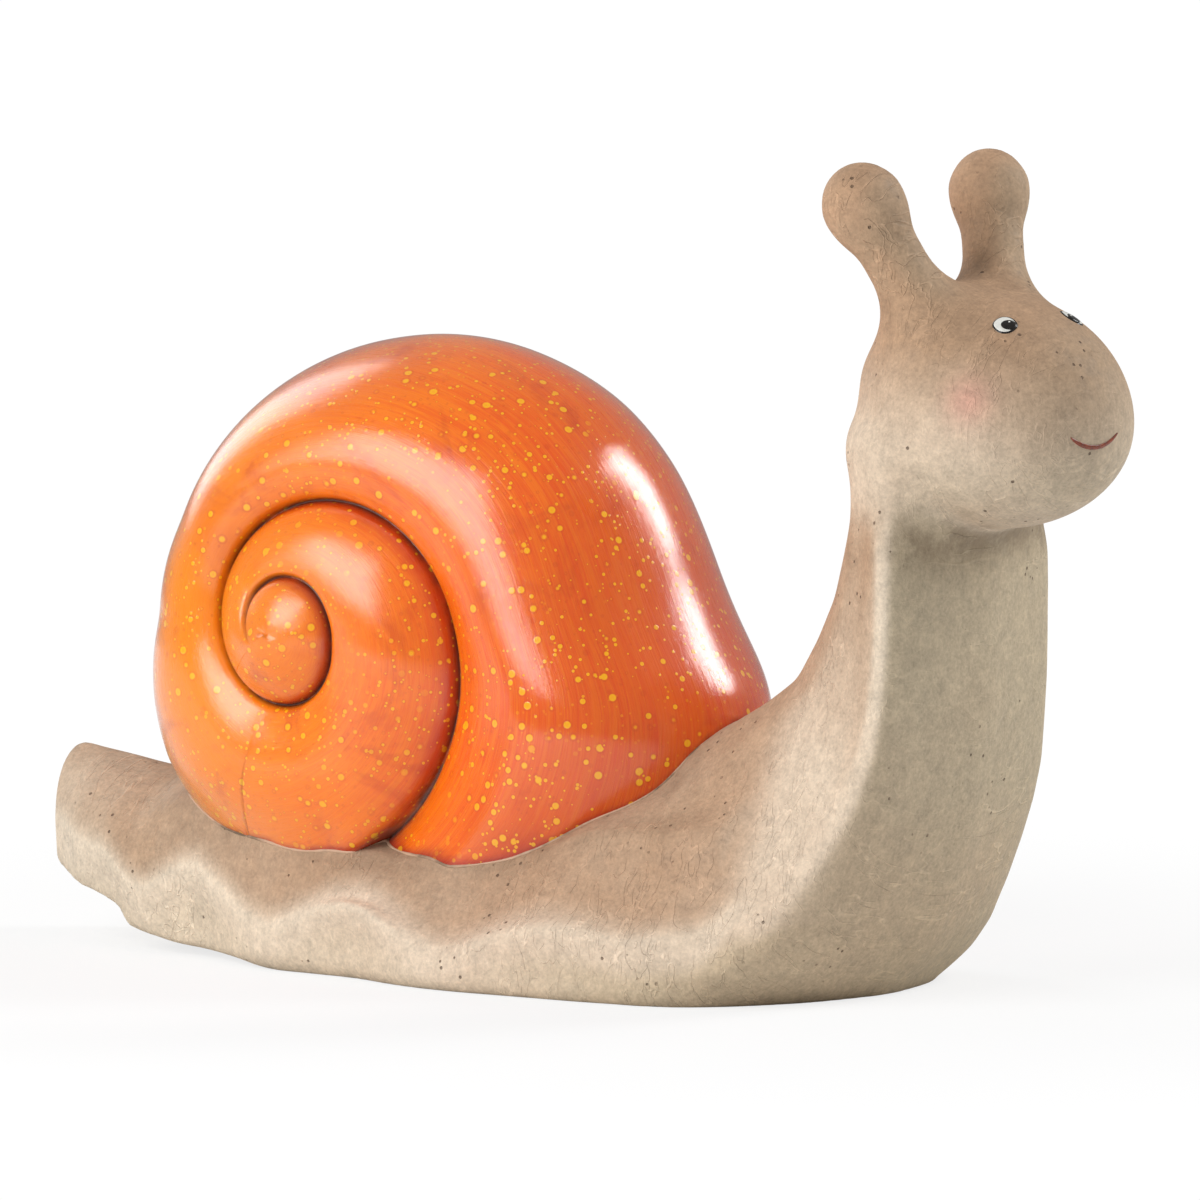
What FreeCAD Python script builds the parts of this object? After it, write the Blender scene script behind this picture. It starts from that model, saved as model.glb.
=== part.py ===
import FreeCAD, Part
import math
import os
import Sketcher

from FreeCAD import Placement, Rotation, Vector

# A ceramic snail ornament, built up from its separate castings and applied parts.
# Frame: +X towards the head, +Y to the snail's left, +Z up, millimetres.
# The origin is the centre of the underside.

doc = FreeCAD.newDocument("snail")
sheet = doc.addObject("Spreadsheet::Sheet", "sizes")

SIZES = [
    # foot and tail
    ("tail_reach", 207.0),          # tail tip behind the origin
    ("foot_front", 132.0),          # toe of the foot ahead of the origin
    ("foot_half_width", 82.0),      # to the outside of the frill
    ("foot_crown", 76.0),           # crown of the foot under the shell
    ("tail_height", 58.0),
    ("tail_lift", 14.0),            # how far the tail tip clears the ground
    ("frill_height", 8.0),          # height of the widest line of the frill
    ("frill_undercut", 5.0),
    ("frill_wave", 2.5),
    # neck and chest
    ("neck_back", 118.0),
    ("neck_ridge", 150.0),          # fore-and-aft place of the two chest ridges
    ("neck_front", 160.0),
    ("neck_half_width", 42.0),
    ("skirt_height", 122.0),        # where the chest starts to flare to the foot
    # head
    ("head_place", 162.5),
    ("head_level", 190.0),
    ("head_length", 90.0),
    ("head_width", 90.0),
    ("head_height", 70.0),
    ("head_turn", 8.0),             # degrees, to the snail's right
    ("brow_place", 163.0),
    ("brow_level", 199.0),
    ("brow_length", 80.0),
    ("brow_width", 60.0),
    ("brow_height", 66.0),
    # castings
    ("body_wall", 9.0),
    ("shell_wall", 7.0),
    ("seam_thickness", 1.0),
    # shell
    ("shell_place", -73.5),
    ("shell_level", 112.0),
    ("shell_radius", 92.0),         # axis to the crown of the outer whorl
    ("shell_half_width", 54.0),
    ("suture_radius", 60.0),
    ("suture_growth", 2.9),         # growth of the suture in one turn
    ("spire_rise", 18.0),           # outward step of the whorls in one turn
    ("seat_level", 37.0),           # lowest line of the shell's seat
    # eye stalks
    ("stalk_ball_radius", 12.5),
    ("stalk_stem_radius", 10.3),
    ("stalk_root_radius", 19.0),
    ("stalk_length", 58.0),         # root centre to ball centre
    ("stalk_root_forward", -10.0),  # from the middle of the head
    ("stalk_root_offset", 12.0),
    ("stalk_root_level", 211.0),
    ("stalk_lean_out", 19.5),       # degrees
    ("stalk_lean_back", 22.5),      # degrees
    # eyes and mouth, raised gloss enamel
    ("enamel_thickness", 0.5),
    ("eye_forward", 17.5),          # from the middle of the head
    ("eye_offset", 15.5),
    ("eye_length", 8.6),
    ("eye_opening", 6.2),
    ("eye_outline_width", 0.6),
    ("pupil_diameter", 4.0),
    ("pupil_forward", 1.3),
    ("mouth_radius", 15.0),
    ("mouth_level", 185.0),         # lowest point of the smile
    ("mouth_line_width", 1.2),
    ("mouth_half_angle", 52.0),     # degrees
    # closing slab
    ("slab_tail_end", -128.0),
    ("slab_head_end", 88.0),
    ("slab_width", 74.0),
    ("slab_thickness", 7.0),
    ("slab_clearance", 0.2),
    ("ledge_width", 6.0),
    ("ledge_thickness", 5.0),
    ("vent_diameter", 16.0),
]

for row, (name, value) in enumerate(SIZES, start=1):
    sheet.set("A%d" % row, name)
    sheet.set("B%d" % row, str(value))
    sheet.setAlias("B%d" % row, name)
doc.recompute()


def size(name):
    return float(sheet.get(name))


def add_shape(label, shape, place=Placement()):
    """A helper solid whose shape is worked out from the sheet."""
    item = doc.addObject("Part::Feature", label)
    item.Shape = shape
    item.Placement = place
    return item


def fuse(label, *items):
    item = doc.addObject("Part::MultiFuse", label)
    item.Shapes = list(items)
    return item


def join(label, base, tool):
    item = doc.addObject("Part::Fuse", label)
    item.Base = base
    item.Tool = tool
    return item


def cut(label, base, tool):
    item = doc.addObject("Part::Cut", label)
    item.Base = base
    item.Tool = tool
    return item


def common(label, base, tool):
    item = doc.addObject("Part::Common", label)
    item.Base = base
    item.Tool = tool
    return item


def closed_spline(points):
    curve = Part.BSplineCurve()
    curve.interpolate(points, PeriodicFlag=True)
    return Part.Wire([curve.toShape()])


# ---------------------------------------------------------------- foot

FOOT_STATIONS = (                  # shares of the way from tail to toe
    0.0, 0.02, 0.05, 0.09, 0.16, 0.24, 0.32, 0.40,
    0.48, 0.56, 0.64, 0.72, 0.80, 0.88, 0.95, 0.992,
)
FOOT_WIDEST = 0.70                 # where the foot is widest, from tail to toe
SECTION_STEPS = (0.0, 0.2, 0.42, 0.64, 0.84, 0.96, 1.0)
WAVES_ALONG_FOOT = 7.0
TAIL_TIP_HALF_WIDTH = 11.0
TAIL_LIFT_SHARE = 0.14             # share of the foot over which the tail comes down to the ground
TAIL_RISE_SHARE = 0.3              # share of the foot over which the tail rises to the crown
HEEL_SHARE = 0.6                   # the underside is never narrower than this share of the frill
SIDE_FULLNESS = (1.7, 0.85)        # how square the sides of the foot are, above and at the frill


def foot_half_width(along):
    """Half width of the frill: a narrow rounded tail that swells to a blunt toe."""
    if along < FOOT_WIDEST:
        share = math.sin(math.pi / 2 * along / FOOT_WIDEST) ** 0.5
    else:
        share = math.sqrt(1 - ((along - FOOT_WIDEST) / (1 - FOOT_WIDEST)) ** 4)
    wave = size("frill_wave") * math.sin(2 * math.pi * WAVES_ALONG_FOOT * along)
    return share * (size("foot_half_width") - size("frill_wave") + wave)


def foot_section(along, inset):
    """Cross-section of the foot at a share of the way from tail to toe."""
    start = -size("tail_reach") + inset
    x = start + along * (size("foot_front") - inset - start)
    low = size("tail_lift") * max(0.0, 1 - along / TAIL_LIFT_SHARE) ** 2
    rise = min(1.0, along / TAIL_RISE_SHARE) * (size("foot_crown") - size("tail_height"))
    crown = size("tail_height") + rise - inset
    widest = max(foot_half_width(along), TAIL_TIP_HALF_WIDTH + inset) - inset
    frill = low + size("frill_height")
    heel = max(widest - size("frill_undercut"), HEEL_SHARE * widest)
    above, beside = SIDE_FULLNESS
    side = []
    for step in SECTION_STEPS:
        height = frill + step * (crown - frill)
        side.append((widest * (1 - step ** above) ** beside, height))
    right = [Vector(x, -y, z) for y, z in side]
    left = [Vector(x, y, z) for y, z in reversed(side[:-1])]
    heel_right = Vector(x, -heel, low)
    heel_left = Vector(x, heel, low)
    crown_curve = Part.BSplineCurve()
    crown_curve.interpolate(right + left)
    edges = [
        Part.makeLine(heel_right, right[0]),
        crown_curve.toShape(),
        Part.makeLine(left[-1], heel_left),
        Part.makeLine(heel_left, heel_right),
    ]
    return Part.Wire(edges)


def foot_solid(inset):
    return Part.makeLoft([foot_section(along, inset) for along in FOOT_STATIONS], True, False)


# ---------------------------------------------------------------- neck and chest

NECK_LEVELS = (0.0, 0.06, 0.13, 0.22, 0.32, 0.44, 0.57, 0.72, 0.86, 1.0)
NECK_TOP_DROP = 6.0                # the neck ends this far below the middle of the head
NECK_TUCK = 5.0                    # how far the top of the neck draws in under the head
NECK_TUCK_FROM = 0.86              # share of the neck's height where that starts
TOE_SWEEP = 52.0                   # how far the chest ridges run back to the frill
CHEST_SWEEP = 30.0                 # how far the chest runs back to the toe
BACK_SWEEP = 150.0                 # how far the nape runs back into the foot
NAPE_RISE = 28.0                   # the nape starts to run back this far above the chest
RIDGE_INSET = 6.0                  # from the outside of the frill to the foot of a chest ridge
NECK_OUTLINE = (                   # share of the depth to the ridge, share of the half width
    (0.14, 0.52),
    (0.55, 0.88),
)
CHEST_OUTLINE = (0.25, 0.62)       # share from the front back to the ridge, share of the half width


def neck_section(level, inset):
    """Horizontal section: two rounded chest ridges, a full front and a rounder nape."""
    z = level * (size("head_level") - NECK_TOP_DROP)
    inset += NECK_TUCK * max(0.0, (level - NECK_TUCK_FROM) / (1 - NECK_TUCK_FROM))
    flare = max(0.0, 1 - z / size("skirt_height"))
    ridge_x = size("neck_ridge") - TOE_SWEEP * flare ** 2.1
    front_x = size("neck_front") - CHEST_SWEEP * flare ** 2 - inset
    nape = max(0.0, 1 - z / (size("skirt_height") + NAPE_RISE))
    back_x = size("neck_back") - BACK_SWEEP * nape ** 1.3 + inset
    wide = size("neck_half_width")
    ridge_y = wide + (size("foot_half_width") - wide - RIDGE_INSET) * flare ** 1.8 - inset
    half = [(back_x, 0.0)]
    for depth, out in NECK_OUTLINE:
        half.append((back_x + depth * (ridge_x - back_x), out * ridge_y))
    chest_back, chest_out = CHEST_OUTLINE
    half.append((ridge_x - 0.4 * inset, ridge_y))
    half.append((front_x - chest_back * (front_x - ridge_x), chest_out * ridge_y))
    half.append((front_x, 0.0))
    right = [Vector(x, -y, z) for x, y in half]
    left = [Vector(x, y, z) for x, y in reversed(half[1:-1])]
    return closed_spline(right + left)


def neck_solid(inset):
    return Part.makeLoft([neck_section(level, inset) for level in NECK_LEVELS], True, False)


# ---------------------------------------------------------------- seat of the shell

SEAT_OUTLINE = (                   # forward of the shell's axis, above the seat's lowest line
    (-260.0, 46.0),
    (-140.0, 34.0),
    (-92.0, 20.0),
    (-72.0, 8.5),
    (-35.0, 1.5),
    (5.0, 0.0),
    (50.0, 1.5),
    (88.0, 8.5),
    (112.0, 19.0),
    (130.0, 34.0),
    (143.0, 58.0),
    (170.0, 160.0),
)
SEAT_TOP = 400.0                   # well above the figure
SEAT_HALF_SPAN = 200.0


def seat_solid(drop):
    """Everything above the seat line, which is lowered by a given amount."""
    origin_x = size("shell_place")
    level = size("seat_level") - drop
    points = [Vector(origin_x + x, -SEAT_HALF_SPAN, level + z) for x, z in SEAT_OUTLINE]
    curve = Part.BSplineCurve()
    curve.interpolate(points)
    first = points[0]
    last = points[-1]
    top_last = Vector(last.x, last.y, SEAT_TOP)
    top_first = Vector(first.x, first.y, SEAT_TOP)
    wire = Part.Wire([
        curve.toShape(),
        Part.makeLine(last, top_last),
        Part.makeLine(top_last, top_first),
        Part.makeLine(top_first, first),
    ])
    return Part.Face(wire).extrude(Vector(0, 2 * SEAT_HALF_SPAN, 0))


# ---------------------------------------------------------------- head

def ellipsoid(label, part, growth):
    """An ellipsoid of the head or the brow, grown or shrunk all round."""
    item = doc.addObject("Part::Ellipsoid", label)
    item.setExpression("Radius1", "sizes.%s_height / 2 + %g" % (part, growth))
    item.setExpression("Radius2", "sizes.%s_length / 2 + %g" % (part, growth))
    item.setExpression("Radius3", "sizes.%s_width / 2 + %g" % (part, growth))
    item.setExpression("Placement.Base.x", "sizes.%s_place" % part)
    item.setExpression("Placement.Base.z", "sizes.%s_level" % part)
    item.Angle1 = -90
    item.Angle2 = 90
    item.Angle3 = 360
    return item


def head_spot(forward, aside, level):
    """A point given from the middle of the head, with the head's turn."""
    turned = Rotation(Vector(0, 0, 1), -size("head_turn")).multVec(Vector(forward, aside, 0))
    return Vector(size("head_place") + turned.x, turned.y, level)


body_wall = size("body_wall")
skull = ellipsoid("skull", "head", 0.0)
brow = ellipsoid("brow", "brow", 0.0)
head_outer = fuse("head_outer", skull, brow)
skull_inner = ellipsoid("skull_inner", "head", -body_wall)
brow_inner = ellipsoid("brow_inner", "brow", -body_wall)
head_inner = fuse("head_inner", skull_inner, brow_inner)


# ---------------------------------------------------------------- closing slab and its rebate

def origin_plane(body, role):
    for feature in body.Origin.OriginFeatures:
        if feature.Role == role:
            return feature
    raise RuntimeError("no plane " + role)


def slot_body(label, clearance, thickness):
    """A slot-shaped plate on the ground plane, round at both ends."""
    body = doc.addObject("PartDesign::Body", label)
    sketch = body.newObject("Sketcher::SketchObject", label + "_outline")
    sketch.AttachmentSupport = (origin_plane(body, "XY_Plane"), [""])
    sketch.MapMode = "FlatFace"
    radius = size("slab_width") / 2
    tail_x = size("slab_tail_end") + radius
    head_x = size("slab_head_end") - radius
    up = Vector(0, 0, 1)
    quarter = math.pi / 2
    tail_circle = Part.Circle(Vector(tail_x, 0, 0), up, radius)
    head_circle = Part.Circle(Vector(head_x, 0, 0), up, radius)
    left_side = Part.LineSegment(Vector(tail_x, radius, 0), Vector(head_x, radius, 0))
    right_side = Part.LineSegment(Vector(head_x, -radius, 0), Vector(tail_x, -radius, 0))
    sketch.addGeometry(Part.ArcOfCircle(tail_circle, quarter, 3 * quarter), False)
    sketch.addGeometry(Part.ArcOfCircle(head_circle, -quarter, quarter), False)
    sketch.addGeometry(left_side, False)
    sketch.addGeometry(right_side, False)
    sketch.addConstraint(Sketcher.Constraint("Tangent", 0, 1, 2, 1))
    sketch.addConstraint(Sketcher.Constraint("Tangent", 2, 2, 1, 2))
    sketch.addConstraint(Sketcher.Constraint("Tangent", 1, 1, 3, 1))
    sketch.addConstraint(Sketcher.Constraint("Tangent", 3, 2, 0, 2))
    sketch.addConstraint(Sketcher.Constraint("Horizontal", 2))
    sketch.addConstraint(Sketcher.Constraint("PointOnObject", 0, 3, -1))
    sketch.addConstraint(Sketcher.Constraint("PointOnObject", 1, 3, -1))
    end_radius = sketch.addConstraint(Sketcher.Constraint("Radius", 0, radius))
    tail_place = sketch.addConstraint(Sketcher.Constraint("DistanceX", 0, 3, -1, 1, -tail_x))
    head_place = sketch.addConstraint(Sketcher.Constraint("DistanceX", -1, 1, 1, 3, head_x))
    half = "sizes.slab_width / 2"
    sketch.setExpression("Constraints[%d]" % end_radius, half + " + " + clearance)
    sketch.setExpression("Constraints[%d]" % tail_place, "-(sizes.slab_tail_end + " + half + ")")
    sketch.setExpression("Constraints[%d]" % head_place, "sizes.slab_head_end - " + half)
    pad = body.newObject("PartDesign::Pad", label + "_plate")
    pad.Profile = sketch
    pad.setExpression("Length", thickness)
    doc.recompute()
    return body, pad


base_slab, slab_plate = slot_body("base_slab", "0", "sizes.slab_thickness")
vent_sketch = base_slab.newObject("Sketcher::SketchObject", "vent_centre")
vent_sketch.AttachmentSupport = (origin_plane(base_slab, "XY_Plane"), [""])
vent_sketch.MapMode = "FlatFace"
vent_circle = Part.Circle(Vector(0, 0, 0), Vector(0, 0, 1), size("vent_diameter") / 2)
vent_sketch.addGeometry(vent_circle, False)
vent_sketch.addConstraint(Sketcher.Constraint("Coincident", 0, 3, -1, 1))
vent_size = vent_sketch.addConstraint(Sketcher.Constraint("Diameter", 0, size("vent_diameter")))
vent_sketch.setExpression("Constraints[%d]" % vent_size, "sizes.vent_diameter")
vent = base_slab.newObject("PartDesign::Pocket", "vent")
vent.Profile = vent_sketch
vent.Type = "ThroughAll"
vent.Midplane = True
doc.recompute()
vent_volume = math.pi * (size("vent_diameter") / 2) ** 2 * size("slab_thickness")
if abs(slab_plate.Shape.Volume - vent.Shape.Volume - vent_volume) > 1.0:
    raise RuntimeError("the vent doesn't go through the slab")

slab_rebate, _ = slot_body("slab_rebate", "sizes.slab_clearance", "sizes.slab_thickness")
ledge_depth = "sizes.slab_thickness + 2 * sizes.ledge_thickness"
ledge_opening, _ = slot_body("ledge_opening", "-sizes.ledge_width", ledge_depth)

# ---------------------------------------------------------------- body casting

foot_outer = add_shape("foot_outer", foot_solid(0.0))
neck_outer = add_shape("neck_outer", neck_solid(0.0))
body_outer = fuse("body_outer", foot_outer, neck_outer, head_outer)
shell_seat = add_shape("shell_seat", seat_solid(0.0))
body_seated = cut("body_seated", body_outer, shell_seat)

foot_inner = add_shape("foot_inner", foot_solid(body_wall))
neck_inner = add_shape("neck_inner", neck_solid(body_wall))
cavity_whole = fuse("cavity_whole", foot_inner, neck_inner, head_inner)
cavity_roof = add_shape("cavity_roof", seat_solid(body_wall))
cavity_roofed = cut("cavity_roofed", cavity_whole, cavity_roof)
cavity_floor = doc.addObject("Part::Box", "cavity_floor")
cavity_floor.setExpression("Length", "sizes.tail_reach + sizes.head_place + sizes.head_length")
cavity_floor.setExpression("Width", "4 * sizes.foot_half_width")
cavity_floor.setExpression("Height", "2 * sizes.slab_thickness + sizes.ledge_thickness")
cavity_floor.setExpression("Placement.Base.x", "-sizes.tail_reach - sizes.head_length / 2")
cavity_floor.setExpression("Placement.Base.y", "-2 * sizes.foot_half_width")
cavity_floor.setExpression("Placement.Base.z", "-sizes.slab_thickness")
cavity = cut("cavity", cavity_roofed, cavity_floor)
hollowed = cut("hollowed", body_seated, cavity)
ground = doc.addObject("Part::Box", "ground")
ground.setExpression("Length", "cavity_floor.Length")
ground.setExpression("Width", "cavity_floor.Width")
ground.setExpression("Height", "sizes.slab_thickness")
ground.setExpression("Placement.Base.x", "cavity_floor.Placement.Base.x")
ground.setExpression("Placement.Base.y", "cavity_floor.Placement.Base.y")
ground.setExpression("Placement.Base.z", "-sizes.slab_thickness")
floor_opening = fuse("floor_opening", slab_rebate, ledge_opening, ground)
body_casting = cut("body_casting", hollowed, floor_opening)

# ---------------------------------------------------------------- shell casting

OUTLINE_SHAPE = (                  # degrees from level ahead, share of the crown radius
    (0, 1.52),
    (30, 1.25),
    (60, 1.07),
    (90, 1.0),
    (120, 0.985),
    (150, 0.975),
    (180, 0.97),
    (210, 1.08),
    (235, 1.38),
    (265, 1.72),
    (300, 1.92),
    (335, 1.82),
)
DOME_STEPS = (                     # share of the half width, share of the outline's reach
    (0.0, 1.0),
    (0.26, 0.966),
    (0.52, 0.855),
    (0.74, 0.67),
    (0.90, 0.46),
    (1.03, 0.29),
    (1.16, 0.14),
    (1.26, 0.05),
)


def dome_slice(y, reach, inset):
    """Outline of the outer whorl in a plane square to the shell's axis."""
    points = []
    for degrees, share in OUTLINE_SHAPE:
        radius = (size("shell_radius") * share - inset) * reach
        turn = math.radians(degrees)
        x = size("shell_place") + radius * math.cos(turn)
        z = size("shell_level") + radius * math.sin(turn)
        points.append(Vector(x, y, z))
    return closed_spline(points)


def dome_solid(inset):
    """The outer whorl, drawn out on both sides to a low spire under the coils."""
    half = size("shell_half_width") - inset
    near = [dome_slice(-half * out, reach, inset) for out, reach in reversed(DOME_STEPS)]
    far = [dome_slice(half * out, reach, inset) for out, reach in DOME_STEPS[1:]]
    return Part.makeLoft(near + far, True, False)


WHORL_START = 0.30                 # turns past level ahead, where the coil runs into the seat
WHORL_END = -1.32
WHORL_STEP = 0.01                  # turns to the next point, which gives the coil's direction
WHORL_SECTIONS = 24
WHORL_SECTION_POINTS = 8
WHORL_FILL = 0.965                 # keeps neighbouring turns just apart, for a clean suture
CENTRE_SHARE = (1 + 1 / size("suture_growth")) / 2
TUBE_SHARE = (1 - 1 / size("suture_growth")) / 2 * WHORL_FILL
WHORL_SINK = 6.0                   # how far the first turn is sunk in the outer whorl


def whorl_point(turns):
    """Centre and radius of the inner coil, on the snail's right, at a number of turns."""
    suture = size("suture_radius") * size("suture_growth") ** turns
    radius = suture * CENTRE_SHARE
    angle = -2 * math.pi * turns
    out = size("shell_half_width") - WHORL_SINK - size("spire_rise") * turns
    x = size("shell_place") + radius * math.cos(angle)
    z = size("shell_level") + radius * math.sin(angle)
    return Vector(x, -out, z), suture * TUBE_SHARE


def whorl_solid():
    """The inner coil of one side, tapering in to the apex."""
    sections = []
    for index in range(WHORL_SECTIONS):
        turns = WHORL_START + (WHORL_END - WHORL_START) * index / (WHORL_SECTIONS - 1)
        centre, radius = whorl_point(turns)
        ahead, _ = whorl_point(turns - WHORL_STEP)
        along = (ahead - centre).normalize()
        outward = Vector(0, -1, 0) - along * -along.y
        outward.normalize()
        across = along.cross(outward)
        points = []
        for corner in range(WHORL_SECTION_POINTS):
            turn = 2 * math.pi * corner / WHORL_SECTION_POINTS
            spoke = outward * math.cos(turn) + across * math.sin(turn)
            points.append(centre + spoke * radius)
        sections.append(closed_spline(points))
    return Part.makeLoft(sections, True, False)


def right_half(solid):
    """What a solid has on the snail's right of the middle plane."""
    span = 4 * (size("tail_reach") + size("foot_front"))
    corner = Vector(size("shell_place") - span / 2, -span, size("shell_level") - span / 2)
    return solid.common(Part.makeBox(span, span, span, corner))


def both_halves(half):
    return half.fuse(half.mirror(Vector(0, 0, 0), Vector(0, 1, 0)))


# The shell is what stands above the bead; the bead is the band of the same wall below it.
coiled_half = right_half(dome_solid(0.0)).fuse(whorl_solid())
hollow = dome_solid(size("shell_wall"))
above_bead = seat_solid(-size("seam_thickness"))
bead_band = seat_solid(0.0).cut(above_bead)
shell_casting = add_shape("shell_casting", both_halves(coiled_half.common(above_bead).cut(hollow)))
shell_seam = add_shape("shell_seam", both_halves(coiled_half.common(bead_band).cut(hollow)))


# ---------------------------------------------------------------- eye stalks

BALL_MEETS_STEM = -38.0            # degrees round the ball, below its widest line
STALK_SIDE = (                     # share of the length from the root, share of the stem's radius
    (0.52, 1.0),
    (0.3, 1.12),
)


def stalk_body(label, way):
    """A ball on a stem that flares to its root, turned about its own axis."""
    body = doc.addObject("PartDesign::Body", label + "_turned")
    sketch = body.newObject("Sketcher::SketchObject", label + "_profile")
    sketch.AttachmentSupport = (origin_plane(body, "XZ_Plane"), [""])
    sketch.MapMode = "FlatFace"
    ball = size("stalk_ball_radius")
    stem = size("stalk_stem_radius")
    root = size("stalk_root_radius")
    length = size("stalk_length")
    meet = math.radians(BALL_MEETS_STEM)
    ball_circle = Part.Circle(Vector(0, length, 0), Vector(0, 0, 1), ball)
    sketch.addGeometry(Part.ArcOfCircle(ball_circle, meet, math.pi / 2), False)
    points = [Vector(ball * math.cos(meet), length + ball * math.sin(meet), 0)]
    for up, out in STALK_SIDE:
        points.append(Vector(stem * out, length * up, 0))
    points.append(Vector(root, 0, 0))
    side = Part.BSplineCurve()
    side.interpolate(points)
    sketch.addGeometry(side, False)
    sketch.addGeometry(Part.LineSegment(points[-1], Vector(0, 0, 0)), False)
    sketch.addGeometry(Part.LineSegment(Vector(0, 0, 0), Vector(0, length + ball, 0)), False)
    turned = body.newObject("PartDesign::Revolution", label + "_form")
    turned.Profile = sketch
    turned.ReferenceAxis = (sketch, ["V_Axis"])
    turned.Angle = 360
    lean = Rotation(Vector(1, 0, 0), -way * size("stalk_lean_out"))
    back = Rotation(Vector(0, 1, 0), -size("stalk_lean_back"))
    turn = Rotation(Vector(0, 0, 1), -size("head_turn"))
    aside = way * size("stalk_root_offset")
    place = head_spot(size("stalk_root_forward"), aside, size("stalk_root_level"))
    body.Placement = Placement(place, turn.multiply(back).multiply(lean))
    return body


stalk_right = cut("eye_stalk_right", stalk_body("stalk_right", -1), head_outer)
stalk_left = cut("eye_stalk_left", stalk_body("stalk_left", 1), head_outer)

# ---------------------------------------------------------------- eyes and mouth

EYE_CORE_DEPTH = 6.0
enamel = size("enamel_thickness")
brow_coat = ellipsoid("brow_coat", "brow", enamel)
skull_coat = ellipsoid("skull_coat", "head", enamel)
head_coat = fuse("head_coat", brow_coat, skull_coat)
enamel_coat = cut("enamel_coat", head_coat, head_outer)


def spot_on(part, spot):
    """The point of the head or the brow above a spot, and the direction that it faces."""
    reach_x = size(part + "_length") / 2
    reach_y = size(part + "_width") / 2
    reach_z = size(part + "_height") / 2
    ahead = spot.x - size(part + "_place")
    within = 1 - (ahead / reach_x) ** 2 - (spot.y / reach_y) ** 2
    up = reach_z * math.sqrt(max(within, 0.0))
    normal = Vector(ahead / reach_x ** 2, spot.y / reach_y ** 2, up / reach_z ** 2).normalize()
    return Vector(spot.x, spot.y, size(part + "_level") + up), normal


def eye_frame(way):
    """Place of an eye, on whichever of the head and the brow stands higher there."""
    spot = head_spot(size("eye_forward"), way * size("eye_offset"), 0.0)
    on_brow = spot_on("brow", spot)
    on_skull = spot_on("head", spot)
    return on_brow if on_brow[0].z > on_skull[0].z else on_skull


def eye_core(label, way, length, opening, forward):
    """An oval core square to the brow, its long side level and its front end forward."""
    point, normal = eye_frame(way)
    level = Vector(0, 0, 1).cross(normal).normalize() * -way
    rise = normal.cross(level)
    centre = point - normal * EYE_CORE_DEPTH + level * forward
    oval = Part.Ellipse(Vector(0, 0, 0), length / 2, opening / 2)
    core = Part.Face(Part.Wire([oval.toShape()])).extrude(Vector(0, 0, 2 * EYE_CORE_DEPTH))
    return add_shape(label, core, Placement(centre, Rotation(level, rise, normal, "ZXY")))


def add_eye(side, way):
    length = size("eye_length")
    opening = size("eye_opening")
    line = 2 * size("eye_outline_width")
    whole = eye_core("eye_whole_" + side, way, length, opening, 0.0)
    inside = eye_core("eye_inside_" + side, way, length - line, opening - line, 0.0)
    pupil_width = size("pupil_diameter")
    pupil = eye_core("pupil_core_" + side, way, pupil_width, pupil_width, size("pupil_forward"))
    outline = cut("outline_ring_" + side, whole, inside)
    white = cut("white_field_" + side, inside, pupil)
    return {
        "eye_outline_" + side: common("eye_outline_" + side, enamel_coat, outline),
        "eye_white_" + side: common("eye_white_" + side, enamel_coat, white),
        "eye_pupil_" + side: common("eye_pupil_" + side, enamel_coat, pupil),
    }


def mouth_band():
    """A curved band, its ends up, run forward through the snout."""
    inner = size("mouth_radius") - size("mouth_line_width") / 2
    outer = size("mouth_radius") + size("mouth_line_width") / 2
    half = math.radians(size("mouth_half_angle"))
    middle = Vector(0, 0, size("mouth_level") + size("mouth_radius"))

    def on_arc(radius, angle):
        return middle + Vector(0, radius * math.sin(angle), -radius * math.cos(angle))

    wire = Part.Wire([
        Part.Arc(on_arc(outer, -half), on_arc(outer, 0), on_arc(outer, half)).toShape(),
        Part.makeLine(on_arc(outer, half), on_arc(inner, half)),
        Part.Arc(on_arc(inner, half), on_arc(inner, 0), on_arc(inner, -half)).toShape(),
        Part.makeLine(on_arc(inner, -half), on_arc(outer, -half)),
    ])
    band = Part.Face(wire).extrude(Vector(size("head_length"), 0, 0))
    turn = Rotation(Vector(0, 0, 1), -size("head_turn"))
    return add_shape("mouth_band", band, Placement(Vector(size("head_place"), 0, 0), turn))


mouth_line = common("mouth_line", enamel_coat, mouth_band())

nodes = {
    "body_casting": body_casting,
    "shell_casting": shell_casting,
    "shell_seam": shell_seam,
    "eye_stalk_right": stalk_right,
    "eye_stalk_left": stalk_left,
    "mouth_line": mouth_line,
    "base_slab": base_slab,
}
nodes.update(add_eye("right", -1))
nodes.update(add_eye("left", 1))

doc.recompute()

# ---------------------------------------------------------------- checks and files

for item in doc.Objects:
    if "Invalid" in item.State or "Error" in item.State:
        raise RuntimeError("%s is %s %s" % (item.Label, item.State, item.getStatusString()))

os.makedirs("parts", exist_ok=True)
for name, item in nodes.items():
    shape = item.Shape
    if shape.isNull() or not shape.isValid() or not shape.Solids:
        raise RuntimeError("%s has no sound solid" % name)
    if item.Label != name:
        raise RuntimeError("%s is labelled %s" % (name, item.Label))

for name, item in nodes.items():
    shape = item.Shape
    shape.exportStep("parts/%s.step" % name)
    box = shape.optimalBoundingBox()
    print("%-18s %d solid(s) %9.1f cm3  x %.1f %.1f  y %.1f %.1f  z %.1f %.1f" % (
        name, len(shape.Solids), shape.Volume / 1000,
        box.XMin, box.XMax, box.YMin, box.YMax, box.ZMin, box.ZMax))
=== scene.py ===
import math

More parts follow.
